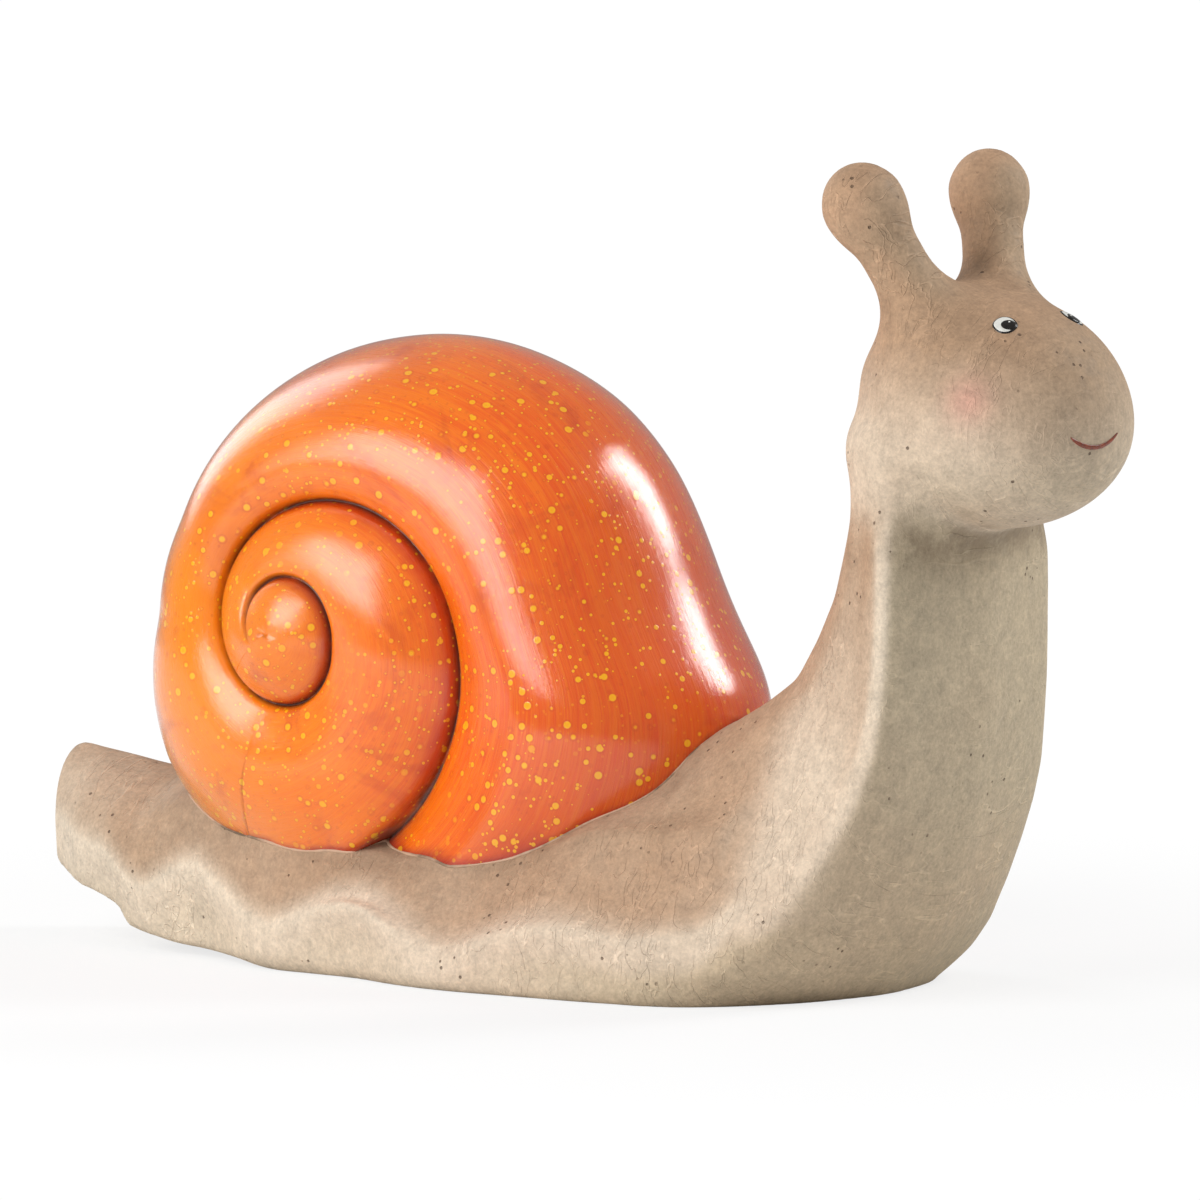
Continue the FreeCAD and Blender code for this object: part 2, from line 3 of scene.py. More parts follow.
import bmesh
import bpy
import numpy as np
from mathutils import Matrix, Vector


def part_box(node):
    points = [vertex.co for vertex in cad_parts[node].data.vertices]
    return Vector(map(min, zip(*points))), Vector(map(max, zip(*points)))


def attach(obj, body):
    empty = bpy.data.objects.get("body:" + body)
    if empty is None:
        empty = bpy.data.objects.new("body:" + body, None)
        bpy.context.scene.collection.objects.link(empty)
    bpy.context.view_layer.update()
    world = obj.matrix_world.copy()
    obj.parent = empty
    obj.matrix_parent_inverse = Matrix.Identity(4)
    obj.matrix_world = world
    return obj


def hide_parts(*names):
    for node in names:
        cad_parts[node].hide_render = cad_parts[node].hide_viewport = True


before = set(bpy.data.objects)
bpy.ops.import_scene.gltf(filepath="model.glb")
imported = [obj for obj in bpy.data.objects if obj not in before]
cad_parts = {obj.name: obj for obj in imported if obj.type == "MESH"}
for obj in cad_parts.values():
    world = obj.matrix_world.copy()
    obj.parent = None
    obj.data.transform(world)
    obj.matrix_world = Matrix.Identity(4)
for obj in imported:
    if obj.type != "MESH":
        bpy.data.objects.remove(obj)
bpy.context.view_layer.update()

import openvdb
from bpy.props import FloatProperty, FloatVectorProperty, IntProperty, PointerProperty
from mathutils import Matrix, Vector

bl_info = {
    "name": "Glazed Snail Ornament",
    "version": (1, 0, 0),
    "blender": (4, 5, 0),
    "location": "3D View > Sidebar > Snail",
    "description": "Builds a ceramic snail with a glazed spiral shell on its packed frame",
    "category": "Add Mesh",
}

MM = 0.001

# Sizes of the ornament are in millimetres in its own frame:
# +X towards the head, +Y to the snail's left, +Z up.

FOOT_PLAN = (                     # place along the foot, half width at the frill
    (-207, 13), (-195, 22), (-184, 31), (-164, 40), (-144, 46), (-124, 51),
    (-95, 62), (-66, 69), (-35, 76), (5, 79.6), (46, 79.8), (72, 78), (84, 73.5),
    (93, 63), (102, 48), (110, 32), (116, 15), (119, -5), (125, -40),
)
FOOT_CROWN = (                    # place along the foot, height of its back
    (-215, 64), (-205, 63), (-196, 61), (-186, 59.5), (-170, 56.5), (-158, 56), (-148, 58),
    (-136, 61), (-110, 64), (140, 64),
)
FRILL_CREST = (                   # place along the foot, height of the frill's wavy crest
    (-207, 38), (-193, 35), (-178, 31), (-166, 30), (-152, 20.6), (-144.5, 19.7),
    (-129, 28), (-121, 29.4), (-107, 23), (-98, 18.4), (-90, 14.5), (-83, 12.8),
    (-74, 15.9), (-65, 20.5), (-57, 24.1), (-47, 26.2), (-37, 24.8), (-30, 21.1),
    (-22, 17), (-14, 13), (-8, 11.5), (0, 12.8), (9, 16.4), (18, 20), (31, 22.6),
    (44, 22.6), (56, 21), (68, 19.2), (90, 21.7), (98, 26), (104, 32), (140, 36),
)
UNDERSIDE = (                     # place along the foot, how far the frill's foot clears the ground
    (-215, 27), (-200, 23), (-186, 19), (-175, 17), (-165, 13.5), (-154, 10),
    (-136, 5.5), (-118, 4), (-100, 2), (-86, 0), (140, 0),
)
HEEL_TUCK = (                     # place along the foot, how far it draws in from frill to ground
    (-215, 4), (-150, 6), (-86, 8), (-44, 7), (-12, 2), (40, 1.5), (140, 1.5),
)
SEAT_SIDE = 55.0                  # half width of the shell where it meets the foot
SEAT_RISE = (                     # place along the foot, its height under the shell's edge
    (-215, 46), (-150, 53), (-125, 58), (-113, 55), (-102, 50), (-87, 45), (-70, 43),
    (-55, 42), (-43, 39.8), (-30, 39.8), (-18, 42.8), (-7, 43.3), (8, 41.8), (22, 45.8),
    (40, 54.2), (140, 66),
)

NECK_ROWS = (                     # level, back, side half width, ridge place, ridge half width, front
    (-10, -30, 62, 80, 56, 112),
    (0, -30, 64, 84, 64, 118),
    (4, -30, 66, 89, 69.5, 123),
    (10, -30, 68, 97, 73.5, 128.5),
    (20, -30, 66, 108, 71.5, 136),
    (34, -22, 58, 120, 66, 143),
    (48, -3, 52, 130.5, 61, 148),
    (61, 19, 46, 138.5, 57, 152),
    (74, 40, 42, 144, 54, 155),
    (85, 59, 38, 146.5, 51.5, 157),
    (94, 76, 37, 147.8, 50.3, 158.3),
    (103, 90, 37, 148.8, 49.6, 159),
    (117, 99.5, 37, 149.8, 48.5, 159.5),
    (131, 107, 37, 150.2, 48, 159.5),
    (144, 111, 37, 150, 47.5, 159.5),
    (157, 115, 37, 148.5, 45, 159),
    (170, 117, 37, 147, 41, 158),
    (190, 115, 37, 147, 40, 156),
)
HEAD_TURN = -8.0                  # degrees
HEAD_PLACE = (162.5, 0.0)
SKULL = ((164.4, 0.0, 188.5), (42.8, 42.2, 33.4))
BROW = ((158.6, 0.6, 199.0), (45.2, 37.0, 32.4))

STALK_ROOT = (-10.0, 12.0, 210.7)
STALK_LEAN_OUT = {-1: 19.5, 1: 17.6}   # right and left, in degrees
STALK_LEAN_BACK = 22.5
STALK_LENGTH = 58.0
STALK_BALL = {-1: 12.5, 1: 11.9}  # radius
STALK_STEM = 10.0                 # radius
STALK_CUT = 27.0                  # where the applied stalk starts, from its root

SHELL_AXIS = (-73.5, 112.0)       # place along the body, level
SHELL_RIM = (                     # degrees from level ahead, reach of the outer whorl
    (-108, 108), (-90, 118), (-60, 134), (-35, 145), (-20, 144), (-12, 140), (-8, 136),
    (-4, 129), (0, 123), (5, 118), (10, 115), (18, 112.5), (30, 110.4), (45, 106.3),
    (60, 100.5), (90, 90.6), (120, 83.2), (150, 75.2), (180, 75.2), (205, 87.2), (225, 95.6),
    (240, 103), (252, 108),
)
SUTURE_LINE = (                   # turns past level ahead, distance of the suture from the axis
    (-2.6, 0.3), (-2.0, 1.5), (-1.75, 3), (-1.62, 5.5), (-1.5, 10.4), (-1.44, 13.5),
    (-1.37, 16.2), (-1.28, 17.9), (-1.18, 18.2), (-1.06, 17.7), (-0.97, 18.4), (-0.88, 20.6),
    (-0.77, 23.8), (-0.66, 26.2), (-0.56, 27.5), (-0.48, 29.4), (-0.4, 32.8), (-0.3, 38.4),
    (-0.2, 44.2), (-0.1, 49.6), (0, 55.4), (0.1, 63.2), (0.2, 74), (0.32, 90),
)
COIL_START = -1.6                 # turns
COIL_END = 0.3                    # turns; the outer whorl runs for one more
TIP_REACH = 0.3                   # distance of the tip's first ring from the axis
CREST_PLACE = 0.24                # outer whorl's crest, as a share from its suture to the rim
CREST_RISE = 5.0                  # how far the crest stands out beyond the suture
CREST_SHIFT = 0.14                # how much further out the crest lies at its lower end
FLARE = 5.0                       # how much further it stands out there
FLARE_TURNS = (0.90, 1.12)        # where the flare begins and is full
CLOSING_TURNS = (1.2, 1.29)       # where the outer whorl's far end settles on its near end
ROUNDNESS = 1.1                   # of the outer whorl's section, 1 for an ellipse
SUTURE_GROOVE = 1.1               # half width of the groove along the suture
SUTURE_LINE_WIDTH = 0.75          # half width of the painted shade line in it
SEAT_LINE = (                     # place along the body, height of the shell's seat
    (-170, 62), (-159, 57), (-140, 45), (-102, 39), (-54, 37), (-13, 36.5), (14, 40),
    (39, 51), (62, 68), (70, 80), (76, 92), (90, 110),
)
SEAT_BEDDING = 6.0                # how far the shell goes down into the body from its seat

EYE_SPOT = {-1: (17.5, 15.5), 1: (20.5, 11.5)}     # right and left: forward, aside
MOUTH_RADIUS = 16.6
MOUTH_LEVEL = 185.0
MOUTH_HALF_ANGLE = 38.0
MOUTH_ASIDE = -1.5

CAMERA_AZIMUTH = 35.0             # degrees
CAMERA_ELEVATION = 6.3            # degrees
CAMERA_DISTANCE = 20.0            # metres
CAMERA_TARGET = (0.0055, 0.0, 0.1215)
FRAME_WIDTH = 0.390               # metres that the picture takes in at the ornament
FLOOR_REACH = 12.0                # metres


def paint(red, green, blue):
    """A paint tint from its 0 to 255 mix, as scene-linear values."""
    tint = []
    for part in (red, green, blue):
        share = part / 255
        tint.append(share / 12.92 if share <= 0.04045 else ((share + 0.055) / 1.055) ** 2.4)
    return tint[0], tint[1], tint[2]


# ---------------------------------------------------------------- settings

def tint_property(name, description, default):
    """A colour setting."""
    return FloatVectorProperty(
        name=name, description=description, default=default, subtype="COLOR", min=0, max=1)


class SnailBodySettings(bpy.types.PropertyGroup):
    mesh_step: FloatProperty(
        name="Mesh step", description="Spacing of the modelled skin's mesh",
        default=0.0016, min=0.001, max=0.006, unit="LENGTH")
    frill_depth: FloatProperty(
        name="Frill depth", description="How deep the scoops under the frill's crest are",
        default=0.0040, min=0, max=0.006, unit="LENGTH")
    tan: tint_property("Tan", "Brown-beige wash of the back and the top", paint(176, 144, 115))
    cream: tint_property("Cream", "Pale paint of the frill and the cheeks", paint(221, 205, 183))
    # painted shade: grey-green for the chest, the snout and the undersides of the cheeks and the
    # frill, where they face away from the light
    painted_shade_olive: tint_property("Olive", "Grey-green shade of the chest", paint(194, 178, 151))
    # painted shade in the recesses, the chin crease, under the shell and the stalk balls and along
    # the ground, and random smudges
    umber: tint_property("Umber", "Dark wash rubbed into the recesses", paint(112, 92, 72))
    blush: tint_property("Blush", "Pink on the cheeks", paint(218, 160, 142))


class SnailShellSettings(bpy.types.PropertyGroup):
    columns: IntProperty(
        name="Columns", description="Mesh columns in one turn of the whorl",
        default=360, min=90, max=720)
    orange: tint_property("Orange", "Main glaze", paint(244, 92, 0))
    amber: tint_property("Amber", "Thin, light glaze", paint(253, 124, 2))
    straw: tint_property("Straw", "Thinnest glaze, at the back", paint(255, 152, 8))
    # painted shade in the sutures and where the shell sits in the body, darker red towards the front,
    # and random darker patches of glaze
    rust: tint_property("Rust", "Thick, dark glaze in the sutures", paint(190, 44, 6))
    # a thin painted shade line at the bottom of the sutures and along the seat
    umber: tint_property("Umber", "Burnt line at the bottom of the sutures", paint(84, 34, 20))
    spatter: tint_property("Spatter", "Yellow spatter dots", paint(255, 196, 0))
    seam: tint_property("Seam", "Bare slip along the seat of the shell", paint(200, 166, 138))


class SnailFaceSettings(bpy.types.PropertyGroup):
    eye_length: FloatProperty(
        name="Eye length", description="Length of the painted eye",
        default=0.0090, min=0.004, max=0.02, unit="LENGTH")
    eye_opening: FloatProperty(
        name="Eye opening", description="Height of the painted eye",
        default=0.0096, min=0.003, max=0.02, unit="LENGTH")
    pupil: FloatProperty(
        name="Pupil", description="Diameter of the pupil",
        default=0.0058, min=0.002, max=0.01, unit="LENGTH")
    lip: tint_property("Lip", "Red-brown of the mouth line", paint(150, 74, 50))


class SnailStageSettings(bpy.types.PropertyGroup):
    key_power: FloatProperty(
        name="Key power", description="Power of the large soft lamp on the left",
        default=15.5, min=0, max=200, unit="POWER")
    rim_power: FloatProperty(
        name="Rim power", description="Power of the soft lamp behind on the left",
        default=5.0, min=0, max=200, unit="POWER")
    strip_power: FloatProperty(
        name="Strip power", description="Power of the narrow lamp behind on the right",
        default=9.0, min=0, max=200, unit="POWER")
    room_light: FloatProperty(
        name="Room light", description="Strength of the even light from all round",
        default=0.32, min=0, max=2)


# ---------------------------------------------------------------- shape helpers

def flowing(rows, value, column=1, reach=13):
    """Reads a table of rows at a value, as one smooth line."""
    table = np.array(rows, float)
    dense = np.linspace(table[0, 0], table[-1, 0], 500)
    line = np.interp(dense, table[:, 0], table[:, column])
    window = np.hanning(2 * reach + 3)[1:-1]
    padded = np.pad(line, reach, mode="reflect", reflect_type="odd")
    smooth = np.convolve(padded, window / window.sum(), "valid")
    return np.interp(value, dense, smooth)


def soft_join(first, second, reach):
    """Two forms as one, with a fillet between them."""
    near = np.maximum(reach - np.abs(first - second), 0) / reach
    return np.minimum(first, second) - near * near * reach / 4


def soft_cut(first, second, reach):
    """What two forms share, with a rounded edge."""
    near = np.maximum(reach - np.abs(first - second), 0) / reach
    return np.maximum(first, second) + near * near * reach / 4


def fade(low, high, value):
    """Goes smoothly from 0 at low to 1 at high."""
    share = np.clip((value - low) / (high - low), 0, 1)
    return share * share * (3 - 2 * share)


def ball(x, y, z, centre, reach, turn=0.0):
    """Distance to an egg-shaped form."""
    turn = math.radians(turn)
    east = x - centre[0]
    north = y - centre[1]
    ahead = (east * math.cos(turn) + north * math.sin(turn)) / reach[0]
    aside = (north * math.cos(turn) - east * math.sin(turn)) / reach[1]
    up = (z - centre[2]) / reach[2]
    near = np.sqrt(ahead ** 2 + aside ** 2 + up ** 2)
    slope = np.sqrt((ahead / reach[0]) ** 2 + (aside / reach[1]) ** 2 + (up / reach[2]) ** 2)
    return near * (near - 1) / np.maximum(slope, 1e-6)


def head_spot(forward, aside, level):
    """A point given from the middle of the head, with the head's turn."""
    turn = Matrix.Rotation(math.radians(HEAD_TURN), 3, "Z")
    spot = turn @ Vector((forward, aside, 0))
    return Vector((HEAD_PLACE[0] + spot.x, HEAD_PLACE[1] + spot.y, level))


def stalk_line(way):
    """Root and direction of the eye stalk on one side."""
    forward, aside, level = STALK_ROOT
    turn = Matrix.Rotation(math.radians(HEAD_TURN), 3, "Z")
    back = Matrix.Rotation(math.radians(-STALK_LEAN_BACK), 3, "Y")
    out = Matrix.Rotation(math.radians(-way * STALK_LEAN_OUT[way]), 3, "X")
    axis = turn @ back @ out @ Vector((0, 0, 1))
    return head_spot(forward, way * aside, level), axis.normalized()


# ---------------------------------------------------------------- skin of the body

def foot_form(x, y, z, scoop):
    """Foot with its ruffled frill: a hollow slope above a wavy crest, drawn in below it."""
    side = np.abs(y)
    plan = flowing(FOOT_PLAN, x, reach=9)
    steep = np.gradient(plan.ravel(), x.ravel()).reshape(plan.shape)
    crest = flowing(FRILL_CREST, x, reach=5)
    crown = flowing(FOOT_CROWN, x)
    seat = flowing(SEAT_RISE, x, reach=9)
    ruffle = np.clip((crest - 19.5) / 8, -1, 1) * fade(-185, -165, x) * fade(100, 80, x)
    gap = z - crest
    # lip: widest at the crest, hollow under its peaks, drawn in to the ground
    drop = np.clip(-gap / np.maximum(crest, 6), 0, 1)
    hollow = scoop * (0.5 + 0.5 * ruffle) * np.sin(np.pi * drop ** 0.8) ** 1.2
    tuck = flowing(HEEL_TUCK, x) * (0.75 + 0.35 * ruffle) * drop ** 1.3 + 1.6 * fade(5, 0, z)
    outer = plan - hollow - tuck
    lip = (side - outer) / np.sqrt(1 + np.minimum(steep ** 2, 120))
    tail_end = -205.8
    lip = soft_cut(lip, tail_end - x + 0 * lip, 8)
    # slope: from the crest up to the shell's edge, hollowed behind the crest's peaks
    reach = np.maximum(plan - SEAT_SIDE, 9)
    inward = (plan - side) / reach
    share = np.clip(inward, 0, 1)
    gutter = 3.4 * (0.55 + 0.45 * ruffle) * np.exp(-((inward - 0.42) / 0.26) ** 2)
    lift = crest + (seat - crest) * (0.55 * share + 0.45 * share ** 2)
    lift = lift - gutter * fade(-150, -120, x)
    lift = lift + np.clip(inward - 1, 0, 3) * (seat - crest) * 0.55
    grade = np.sqrt(1 + (1.35 * (seat - crest) / reach) ** 2)
    slope = (z - lift) / grade
    slope = soft_cut(slope, z - crown, 16)
    # tail: a rounded back instead
    rise = (z - crest) / (crown - crest)
    width = np.maximum(side / np.maximum(plan, 6), 1e-4)
    tip_start, tip_length = -198, 9.5
    tip = np.maximum(tip_start - x, 0) / tip_length
    square = 1.62 + 0.7 * fade(-158, -138, x)
    arch = 2.2
    level = width ** square + np.sign(rise) * np.abs(rise) ** arch + tip ** 3 - 1
    steep_y = square * width ** (square - 1) / np.maximum(plan, 6)
    steep_z = arch * np.abs(rise) ** 1.2 / (crown - crest)
    steep_x = 3 * tip ** 2 / tip_length
    back = level / np.maximum(np.sqrt(steep_y ** 2 + steep_z ** 2 + steep_x ** 2), 0.008)
    tail = fade(-118, -160, x)
    top = slope * (1 - tail) + back * tail
    foot = soft_cut(top, lip, 5)
    under = flowing(UNDERSIDE, x) * np.clip(side / plan, fade(-140, -165, x), 1) ** 2
    return soft_cut(foot, under - z, 2.5)


def neck_table(levels):
    """Reach of the neck's outline round its middle, at each level and angle."""
    angles = np.linspace(-np.pi, np.pi, 361)
    middles = []
    rows = []
    for level in levels:
        back, side, ridge, ridge_out, front = (
            flowing(NECK_ROWS, level, column, 9) for column in range(1, 6))
        groove = 1.6 * fade(150, 120, level) * fade(0, 30, level)
        half = [
            (back, 0.0),
            (back + 0.10 * (ridge - back), 0.52 * side),
            (back + 0.34 * (ridge - back), 0.87 * side),
            (back + 0.66 * (ridge - back), side + 0.25 * (ridge_out - side)),
            (ridge - 7.0, ridge_out - 1.0 - 0.2 * abs(ridge_out - side)),
            (ridge, ridge_out),
            (ridge + 0.42 * (front - ridge), 0.86 * ridge_out - groove),
            (front - 0.22 * (front - ridge) - groove, 0.56 * ridge_out),
            (front, 0.0),
        ]
        ring = half + [(px, -py) for px, py in half[-2:0:-1]]
        ring = np.array(ring + ring[:1])
        spacing = np.hypot(*np.diff(ring, axis=0).T)
        along = np.concatenate([[0], np.cumsum(spacing)])
        dense = np.linspace(0, along[-1], 721)
        px = np.interp(dense, along, ring[:, 0])[:-1]
        py = np.interp(dense, along, ring[:, 1])[:-1]
        window = np.hanning(53)[1:-1]
        window /= window.sum()
        reach = len(window) // 2
        px = np.convolve(np.pad(px, reach, mode="wrap"), window, "valid")
        py = np.convolve(np.pad(py, reach, mode="wrap"), window, "valid")
        middle = 0.45 * back + 0.55 * front
        turn = np.arctan2(py, px - middle)
        order = np.argsort(turn)
        away = np.hypot(px - middle, py)[order]
        rows.append(np.interp(angles, turn[order], away, period=2 * np.pi))
        middles.append(middle)
    return np.array(rows), np.array(middles)


def neck_form(x, y, z):
    """Neck and chest, which spread to the foot as a skirt with two rounded ridges."""
    levels = np.linspace(-8, 186, 98)
    table, middles = neck_table(levels)
    height = np.clip((z - levels[0]) / (levels[1] - levels[0]), 0, len(levels) - 1.001)
    low = height.astype(int)
    part = height - low
    middle = middles[low] * (1 - part) + middles[low + 1] * part
    east = x - middle
    turn = (np.arctan2(y + 0 * east, east + 0 * y) + np.pi) / (2 * np.pi) * 360
    spot = np.clip(turn.astype(int), 0, 359)
    share = turn - spot
    low = low + 0 * spot
    near = table[low, spot] * (1 - share) + table[low, spot + 1] * share
    far = table[low + 1, spot] * (1 - share) + table[low + 1, spot + 1] * share
    reach = near * (1 - part) + far * part
    bend = (table[low, spot + 1] - table[low, spot]) / (2 * np.pi / 360) / np.maximum(near, 5)
    climb = (far - near) / (levels[1] - levels[0])
    away = np.hypot(east + 0 * y, y + 0 * east) - reach
    side = away / np.sqrt(1 + np.minimum(bend ** 2, 9) + np.minimum(climb ** 2, 9))
    return soft_cut(side, z - 183 + 0 * side, 8)


def stalk_form(x, y, z, way):
    """Stem and ball of an eye stalk."""
    root, axis = stalk_line(way)
    east, north, up = x - root.x, y - root.y, z - root.z
    along = east * axis.x + north * axis.y + up * axis.z
    away = np.sqrt(np.maximum(east ** 2 + north ** 2 + up ** 2 - along ** 2, 0))
    waist = STALK_STEM + 0.9 * fade(34, 12, along)
    stem = soft_cut(away - waist, along - STALK_LENGTH, 4)
    stem = soft_cut(stem, -12 - along, 4)
    tip = np.sqrt(away ** 2 + (along - STALK_LENGTH) ** 2) - STALK_BALL[way]
    egg = np.sqrt(away ** 2 + ((along - STALK_LENGTH + 4) / 1.12) ** 2) - STALK_BALL[way] + 0.6
    return soft_join(soft_join(stem, tip, 6), egg, 5)


def head_form(x, y, z):
    """Pear-shaped head: a broad skull and a narrower brow."""
    return soft_join(ball(x, y, z, *SKULL, HEAD_TURN), ball(x, y, z, *BROW, HEAD_TURN), 9)


def body_form(x, y, z, scoop):
    foot = foot_form(x, y, z, scoop)
    neck = neck_form(x, y, z)
    body = soft_join(foot, neck, 9)
    chin = np.interp(x, (120, 150, 172), (18, 16, 7))
    body = soft_join(body, head_form(x, y, z), chin)
    for way in (-1, 1):
        body = soft_join(body, stalk_form(x, y, z, way), 17)
    return np.maximum(body, -z)


class Skin:
    """The body's form on a grid, from which its mesh and what sits on it are read."""
    low = np.array((-214.0, -88.0, -7.0))
    high = np.array((216.0, 88.0, 282.0))
    ready = None

    def __init__(self, step, scoop):
        self.step = step
        counts = np.ceil((self.high - self.low) / step).astype(int) + 1
        lines = [self.low[i] + step * np.arange(counts[i]) for i in range(3)]
        x = lines[0][:, None, None]
        y = lines[1][None, :, None]
        z = lines[2][None, None, :]
        self.field = body_form(x, y, z, scoop).astype(np.float32)

    @classmethod
    def get(cls):
        if cls.ready is None:
            settings = bpy.context.scene.snail_body
            step = settings.mesh_step / MM
            cls.ready = cls(step, settings.frill_depth / MM)
        return cls.ready

    def depth(self, points):
        """Distance outside the skin, in millimetres, at points of the ornament's frame."""
        place = (np.asarray(points, float) - self.low) / self.step
        place = np.clip(place, 0, np.array(self.field.shape) - 1.001)
        cell = place.astype(int)
        part = place - cell
        total = np.zeros(len(place))
        for corner in range(8):
            offset = np.array([(corner >> i) & 1 for i in range(3)])
            weight = np.prod(np.where(offset, part, 1 - part), axis=1)
            i, j, k = (cell + offset).T
            total += weight * self.field[i, j, k]
        return total

    def normal(self, points):
        points = np.asarray(points, float)
        reach = 1.5 * self.step
        slope = np.zeros_like(points)
        for axis in range(3):
            shift = np.zeros(3)
            shift[axis] = reach
            slope[:, axis] = self.depth(points + shift) - self.depth(points - shift)
        return slope / np.maximum(np.linalg.norm(slope, axis=1, keepdims=True), 1e-9)

    def drop_on(self, points, lift=0.0, rounds=8):
        """Moves points onto the skin along its normal, standing proud by a lift."""
        points = np.array(points, float)
        for _ in range(rounds):
            points -= self.normal(points) * (self.depth(points) - lift)[:, None]
        return points


def new_piece(name, vertices, faces, replaces=None):
    """A smooth-shaded mesh from points in millimetres, riding on the ornament."""
    mesh = bpy.data.meshes.new(name)
    mesh.from_pydata((np.asarray(vertices) * MM).tolist(), [], faces)
    mesh.validate()
    mesh.shade_smooth()
    piece = bpy.data.objects.new(name, mesh)
    bpy.context.scene.collection.objects.link(piece)
    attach(piece, "root")
    if replaces:
        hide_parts(replaces)
    return piece


def skin_mesh(skin):
    """Quads over the whole skin, evened out and set back on it."""
    grid = openvdb.FloatGrid(background=10.0)
    grid.copyFromArray(skin.field)
    points, quads = grid.convertToQuads(isovalue=0.0)
    points = np.asarray(points, float) * skin.step + skin.low
    quads = np.asarray(quads)
    edges = np.concatenate([quads[:, [i, (i + 1) % 4]] for i in range(4)])
    count = np.bincount(edges.ravel(), minlength=len(points)).astype(float)
    for _ in range(4):
        total = np.zeros_like(points)
        np.add.at(total, edges[:, 0], points[edges[:, 1]])
        np.add.at(total, edges[:, 1], points[edges[:, 0]])
        points += 0.5 * (total / count[:, None] - points)
        normal = skin.normal(points)
        points -= normal * np.clip(skin.depth(points), -0.4, 0.4)[:, None]
    return points, quads


# ---------------------------------------------------------------- paint masks

def crest_gap(x, z):
    """Height above the frill's crest."""
    return z - flowing(FRILL_CREST, x, reach=5)


def body_masks(points, normals):
    """Where each paint of the body goes, from 0 to 1: tan, grey-green painted shade, umber painted
    shade in the recesses, and blush.
    """
    x, _, z = points.T
    ahead = normals[:, 0]
    gap = crest_gap(x, z)
    on_foot = fade(70, 52, z) * fade(118, 96, x)
    slope_tan = fade(-4, 12, gap) * (0.86 - 0.3 * fade(-150, -200, x))
    on_head = fade(150, 170, z)
    head_tan = 0.26 + 0.80 * fade(176, 224, z) + 0.14 * fade(0.1, 0.9, ahead) * fade(172, 196, z)
    nape_tan = 0.85 - 0.5 * fade(-0.2, 0.6, ahead)
    upper = nape_tan * (1 - on_head) + head_tan * on_head
    tan = slope_tan * on_foot + upper * (1 - on_foot)
    # no tan on the front of the chest, which takes the grey-green painted shade instead
    tan = tan * (1 - 0.8 * fade(0.25, 0.75, ahead) * fade(60, 100, x) * fade(170, 150, z))
    # painted highlight on the ridge between the neck's side and the chest, partly paint that is
    # lighter on the crest: less tan there
    ridge = fade(-0.6, -0.15, ahead) * fade(0.92, 0.5, ahead) * fade(92, 112, x) * fade(168, 148, z)
    tan = tan * (1 - 0.85 * ridge)
    # painted shade in grey-green: on the front of the chest, on the undersides of the cheeks, under
    # the frill's crest and on the snout, where they face away from the light
    chest = fade(0.4, 0.92, ahead) * fade(85, 125, x) * fade(170, 150, z)
    low_cheek = 0.30 * fade(0.0, -0.7, normals[:, 2]) * on_head
    below = fade(-4, -14, gap) * (0.3 + 0.7 * fade(0, 80, x)) * fade(42, 24, z)
    # painted highlight along the frill's crest: less tan, so the pale paint shows as a light band
    tan = tan - 0.35 * np.exp(-(gap / 4.5) ** 2) * on_foot
    snout = 0.35 * fade(0.3, 0.95, ahead) * on_head
    painted_shade_olive = np.clip(chest + low_cheek + below + snout, 0, 1)
    # painted shade in umber, partly a real dark umber rub: in the crease under the chin and under the
    # shell's seat
    chin_level, chin_width = 152, 8.0
    chin = np.exp(-((z - chin_level) / chin_width) ** 2) * fade(118, 150, x)
    chin = chin * (0.35 + 0.65 * fade(0.1, 0.8, ahead))
    seat = flowing(SEAT_LINE, x)
    seam = np.exp(-np.maximum(seat - z, 0) / 4.5) * fade(74, 60, x) * fade(-4, 0, z - seat + 30)
    seam *= fade(84, 74, x)
    shade_and_wash = 0.75 * chin + 0.42 * seam
    # painted shade at the eye stalks' roots, strongest on the far one, and under their balls
    for way in (-1, 1):
        root, axis = stalk_line(way)
        spot = np.array(root + axis * 21)
        away = np.linalg.norm(points - spot, axis=1)
        shade_and_wash += (0.15 if way < 0 else 0.9) * fade(19, 10, away) * fade(0.7, -0.2, ahead)
        under = np.array(root + axis * (STALK_LENGTH - 13))
        shade_and_wash += 0.35 * fade(15, 5, np.linalg.norm(points - under, axis=1))
    # painted shade along the ground
    heel = fade(5, 0, z) * 0.35
    blush = np.zeros(len(points))
    blush_reach = 7.5
    for way in (-1, 1):
        cheek = np.array(head_spot(20.0, way * 36.0, 200.6))
        blush += np.exp(-(np.linalg.norm(points - cheek, axis=1) / blush_reach) ** 2)
    return {
        "tan": tan,
        "painted_shade_olive": painted_shade_olive,
        "shade_and_wash": np.clip(shade_and_wash + heel, 0, 1),
        "blush": np.clip(blush, 0, 1),
    }


def store_masks(piece, skin):
    """Writes the paint masks of the body on a piece's points."""
    mesh = piece.data
    points = np.zeros(3 * len(mesh.vertices))
    mesh.vertices.foreach_get("co", points)
    points = points.reshape(-1, 3) / MM
    for name, values in body_masks(points, skin.normal(points)).items():
        layer = mesh.attributes.new(name, "FLOAT", "POINT")
        layer.data.foreach_set("value", values.astype(np.float32))


# ---------------------------------------------------------------- materials

